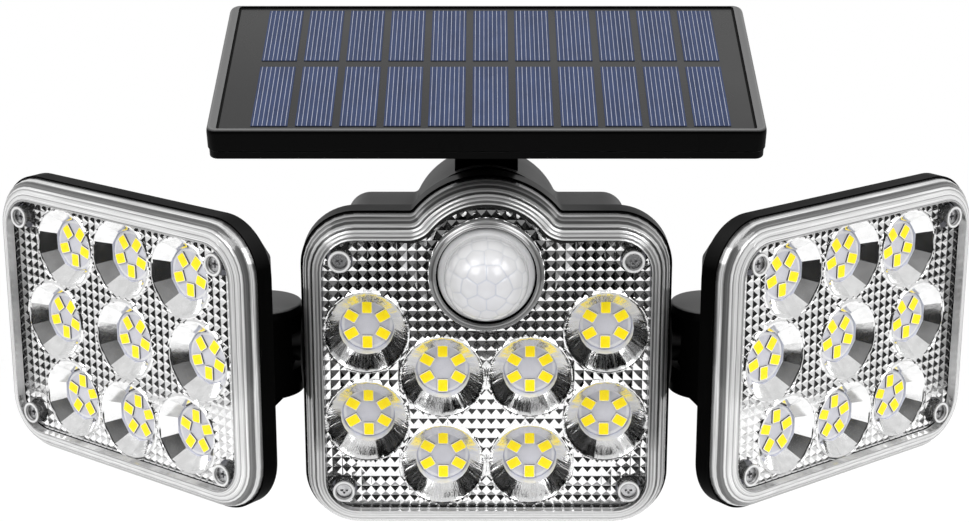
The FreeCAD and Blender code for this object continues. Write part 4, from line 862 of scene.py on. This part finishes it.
# rows: front edge and length of each row of cells
cellShape = {"columns": 11, "width": 8.6, "gap": 1.75, "rows": ((-33.8, 26.4), (-4.4, 24.4)),
             "shift": 1.0, "base": 18.2, "top": 18.36, "fingers": 8, "finger": 0.115,
             "fingerSunk": 0.01, "fingerRise": 0.04}
cellTones = {"silicon": ((0.015, 0.026, 0.070), (0.034, 0.054, 0.130)),
             "silver": ((0.42, 0.43, 0.52), (0.54, 0.55, 0.64)), "stretch": (3.0, 0.03, 0.03)}


def blocks(x, y, width, length, base, top, finish):
    # many upright blocks at once, from their front left corners; the uv runs 0..1 over each block
    low = columns(x, y, base)
    high = columns(x + width, y + length, top)
    pick = np.array([[0, 0, 0], [1, 0, 0], [1, 1, 0], [0, 1, 0], [0, 0, 1], [1, 0, 1], [1, 1, 1], [0, 1, 1]])
    points = np.where(pick[None] == 1, high[:, None], low[:, None]).reshape(-1, 3)
    faces = np.array([[0, 3, 2, 1], [4, 5, 6, 7], [0, 1, 5, 4], [1, 2, 6, 5], [2, 3, 7, 6], [3, 0, 4, 7]])
    faces = (faces[None] + 8 * np.arange(len(low))[:, None, None]).reshape(-1, 4)
    uv = np.tile(pick[:, :2].astype(float), (len(low), 1))
    return {"points": points, "faces": faces, "uv": uv, "finish": finish}


def makeCells():
    # evenly spaced silicon strips, each with evenly spaced silver lines half a gap in from its sides
    k = cellShape
    column = np.arange(k["columns"])
    left = k["shift"] + (column - (k["columns"] - 1) / 2) * (k["width"] + k["gap"]) - k["width"] / 2
    x, front = [a.ravel() for a in np.meshgrid(left, [r[0] for r in k["rows"]], indexing="ij")]
    length = np.tile([r[1] for r in k["rows"]], k["columns"])
    share = (np.arange(k["fingers"]) + 0.5) / k["fingers"]
    lineX = (x[:, None] + share * k["width"]).ravel() - k["finger"] / 2
    lineY, lineLength = np.repeat([front, length], k["fingers"], 1)
    silicon = Look("siliconCell", Specular_IOR_Level=0.2)
    cloud = silicon.cloud(0.15, 3.0)
    long = silicon.node("ShaderNodeVectorMath", {"operation": "MULTIPLY"},
                        {0: silicon.objectPlace(), 1: cellTones["stretch"]})
    mix = cloud * 0.4 + silicon.cloud(1.0, 2.0, 0.35, long) * 0.6
    silicon.feed(Base_Color=silicon.mixColour(mix, *cellTones["silicon"]),
                 Roughness=cloud.span(0, 1, 0.3, 0.42))
    silver = clouded("silverLine", *cellTones["silver"], (0.3, 2.0), Roughness=0.35, Metallic=0.2)
    skins = [blocks(x, front, k["width"], length, k["base"], k["top"], 0),
             blocks(lineX, lineY, k["finger"], lineLength, k["top"] - k["fingerSunk"],
                    k["top"] + k["fingerRise"], 1)]
    build("solarCells", skins, [silicon, silver], panel, ["solar_cells"], 30.0)


makeCells()


# frame, bead: profiles as (inset at the ends, inset at front and back, depth below the top); the frame's
# runs up its side and over its rim: groove, straight side, rolled edge, flat rim, inner wall and shelf
panelShape = {"halfX": 65.4, "halfY": 29.6, "forward": 6.9, "top": 18.7, "corner": 2.5,
              "frame": ((0.45, 0.45, 6.1), (0.45, 0.45, 5.85), (0.0, 0.0, 5.65), (0.0, 0.0, 1.5),
                        (0.05, 0.04, 1.0), (0.2, 0.16, 0.6), (0.45, 0.36, 0.25), (0.8, 0.6, 0.06),
                        (1.1, 0.8, 0.0), (2.15, 1.0, 0.0), (2.4, 1.1, 0.15), (2.4, 1.1, 1.7),
                        (4.4, 3.1, 1.7), (4.4, 3.1, 6.1)),
              "bead": ((2.42, 1.12, 0.49), (2.42, 1.12, 0.44), (3.0, 1.45, 0.44), (3.0, 1.45, 0.49))}


def panelLoop(insetX, insetY, depth):
    # rounded rectangle round the panel's middle, so far below its top
    k = panelShape
    x, y = k["halfX"] - insetX, k["halfY"] - insetY
    flat = outline({"width": x * 2, "bottom": -y, "top": y, "corner": k["corner"] - (insetX + insetY) / 2,
                    "arch": None}, 0.0, 8)
    return columns(flat[:, 0], flat[:, 1] - k["forward"], k["top"] - depth)


def makePanelFrame():
    # moulded frame, and a thin black bead in the corner between it and the laminate: a sealing bead, and
    # partly a dark strip standing in for shade in that groove
    skins = [grid(np.stack([panelLoop(*station) for station in panelShape[part]], 1), closedU=True,
                  closedV=True, finish=finish) for finish, part in enumerate(("frame", "bead"))]
    build("panelFrame", skins, [plastics["panelFramePlastic"], plastics["sealBead"]], panel,
          ["panel_frame"], 50.0)


makePanelFrame()
print("solar panel ready")


laminateLook = {"dark": 0.004, "light": (0.014, 0.024), "slant": 0.35, "paintedShadeFrom": -65.0, "paintedShadeTo": -20.0}


def laminate(name):
    # dark glossy sheet round the cells; painted shade makes it darkest toward its front left
    k = laminateLook
    look = Look(name, Coat_Weight=0.2, Coat_Roughness=0.12, Specular_IOR_Level=0.4)
    cloud = look.cloud(0.04, 3.0)
    # painted shade: darker toward the front left
    near = 1.0 - (look.axis(1) + look.axis(0) * k["slant"]).span(k["paintedShadeFrom"], k["paintedShadeTo"])
    tone = look.mixColour(near, look.mixColour(cloud, *k["light"]), k["dark"])
    look.feed(Base_Color=tone, Roughness=cloud.span(0, 1, 0.22, 0.34),
              Normal=look.bump(look.noise(1.2, 2.0), 0.01, 0.3))


boardLook = {"clouds": (0.15, 3.0), "roughness": (0.38, 0.52)}
metalLook = {"clouds": (0.5, 4.0), "grain": (1.0, 0.01, 0.15), "Metallic": 1.0}
rubberLook = {"clouds": (0.3, 3.0), "roughness": (0.6, 0.75), "grain": (2.5, 0.02, 0.5)}
# the white LED board's faint glow is painted light
clouded("whiteBoard", (0.62, 0.62, 0.70), (0.70, 0.70, 0.78), glow=0.10, **boardLook)
clouded("greenBoard", (0.02, 0.10, 0.04), (0.03, 0.13, 0.05), **boardLook)
clouded("boardComponents", (0.03, 0.03, 0.035), (0.05, 0.05, 0.05), **boardLook)
clouded("batterySleeve", (0.02, 0.09, 0.22), (0.03, 0.12, 0.28), **boardLook)
clouded("screwSteel", (0.62, 0.62, 0.63), (0.496, 0.496, 0.504), roughness=(0.22, 0.33), **metalLook)
clouded("sensorCan", (0.7, 0.68, 0.62), (0.56, 0.544, 0.496), roughness=(0.3, 0.45), **metalLook)
clouded("sealingRubber", 0.02, 0.032, **rubberLook)
clouded("buttonRubber", 0.03, 0.048, **rubberLook)
laminate("panelLaminate")
# which finish a CAD node takes, by the end of its name; the rest are plain black plastic
finishOf = {
    "screwSteel": ("screws", "lock_screw", "swivel_pin", "shaft_nut", "hinge_bolt", "hinge_nut"),
    "whiteBoard": ("led_board",), "greenBoard": ("driver_board", "switch_board", "sensor_board"),
    "boardComponents": ("driver_parts", "button_switch"),
    "sealingRubber": ("gasket", "friction_washer"), "buttonRubber": ("mode_button",),
    "paintedSteel": ("wall_bracket",), "sensorCan": ("pir_sensor",),
    "batterySleeve": ("battery_cell",), "panelLaminate": ("solar_board",),
    "deepBlackPlastic": ("pir_seat",), "shellPlastic": ("head_shell",),
    "armPlastic": ("_arm", "drum_cap"), "housingPlastic": ("rear_housing",),
}
for name, node in nodes.items():
    wanted = [key for key, endings in finishOf.items() if name.endswith(endings)]
    node.data.materials.clear()
    node.data.materials.append(bpy.data.materials[wanted[0] if wanted else "blackPlastic"])
print("node finishes ready")


# metres from here on; softbox: how far to the side, in front and above, then its size and its watts
studio = {"floorZ": -0.25, "floorR": 0.756, "floorShade": 0.8, "floorGlow": 0.22, "domeR": 3.0,
          "walls": 0.8, "dark": 0.012, "softbox": (0.75, -0.85, 0.85), "softboxSize": (0.95, 0.8),
          "softboxPower": 9.5}


def stageObject(name, points, look):
    # one object of the studio from a grid of points that is closed round
    skin = grid(points, closedU=True)
    mesh = bpy.data.meshes.new(name)
    mesh.from_pydata(skin["points"], [], skin["faces"].tolist())
    mesh.materials.append(look.material)
    thing = show(name, mesh)
    return thing


def makeFloor():
    # flat disc under the object: rings of points, the radius growing evenly
    radius = np.linspace(0, studio["floorR"], 12)
    angle = np.linspace(0, 2 * np.pi, 96, endpoint=False)[:, None]
    points = columns(radius * np.cos(angle), radius * np.sin(angle), studio["floorZ"])
    look = Look("paleFloor", Base_Color=colour(studio["floorShade"]), Roughness=0.7,
                Emission_Color=colour(1.0), Emission_Strength=studio["floorGlow"])
    stageObject("floor", points, look)


def makeDome():
    # ball round the studio, seen only in reflections: it glows but for a dark part ahead and low down
    t = np.linspace(0, np.pi, 25)
    a = np.linspace(0, 2 * np.pi, 48, endpoint=False)[:, None]
    points = studio["domeR"] * columns(np.sin(t) * np.cos(a), np.sin(t) * np.sin(a), np.cos(t))
    look = Look("studioWalls", Base_Color=colour(0.0), Roughness=1.0, Emission_Strength=1.0)
    x, y, z = [v / studio["domeR"] for v in look.split(look.node("ShaderNodeTexCoord", output=3))]
    ahead = (0.0 - y).span(0.38, 0.45)
    above = z.span(0.45, 0.58, 0.0, 0.3).most(z.span(0.58, 0.72))
    glow = (1.0 - ahead).most(above) * studio["walls"] + studio["dark"]
    look.feed(Emission_Color=look.vector(glow, glow, glow))
    dome = stageObject("studioWalls", points, look)
    dome.visible_camera = False
    dome.visible_shadow = False


def softbox(name, place):
    # rectangular light that faces the middle of the wall plate
    light = bpy.data.lights.new(name, "AREA")
    light.shape = "RECTANGLE"
    light.size, light.size_y = studio["softboxSize"]
    light.energy = studio["softboxPower"]
    lamp = show(name, light)
    lamp.location = place
    x, y, z = place
    lamp.rotation_euler = (math.atan2(math.hypot(x, y), z), 0.0, math.pi + math.atan2(-x, y))


makeFloor()
makeDome()
for name, side in (("softboxLeft", -1), ("softboxRight", 1)):
    softbox(name, (side * studio["softbox"][0], *studio["softbox"][1:]))

world = bpy.data.worlds.new("paleRoom")
bpy.context.scene.world = world
world.use_nodes = True
background = world.node_tree.nodes["Background"].inputs
background["Color"].default_value = (1, 1, 1, 1)
background["Strength"].default_value = 1.0
bpy.context.scene.view_settings.view_transform = "Standard"

cameraSetting = {"place": (-0.00047, -0.51436, 0.1686), "down": 16.311, "focalPixels": 2000.0,
                 "imagePixels": 969, "sensor": 36.0, "clip": (0.01, 50.0)}
view = bpy.data.cameras.new("photoCamera")
view.sensor_width = cameraSetting["sensor"]
view.lens = cameraSetting["focalPixels"] / cameraSetting["imagePixels"] * view.sensor_width
view.clip_start, view.clip_end = cameraSetting["clip"]
camera = show("photoCamera", view)
camera.location = cameraSetting["place"]
camera.rotation_euler = (math.radians(90 - cameraSetting["down"]), 0, 0)
bpy.context.scene.camera = camera
print("stage and camera ready")
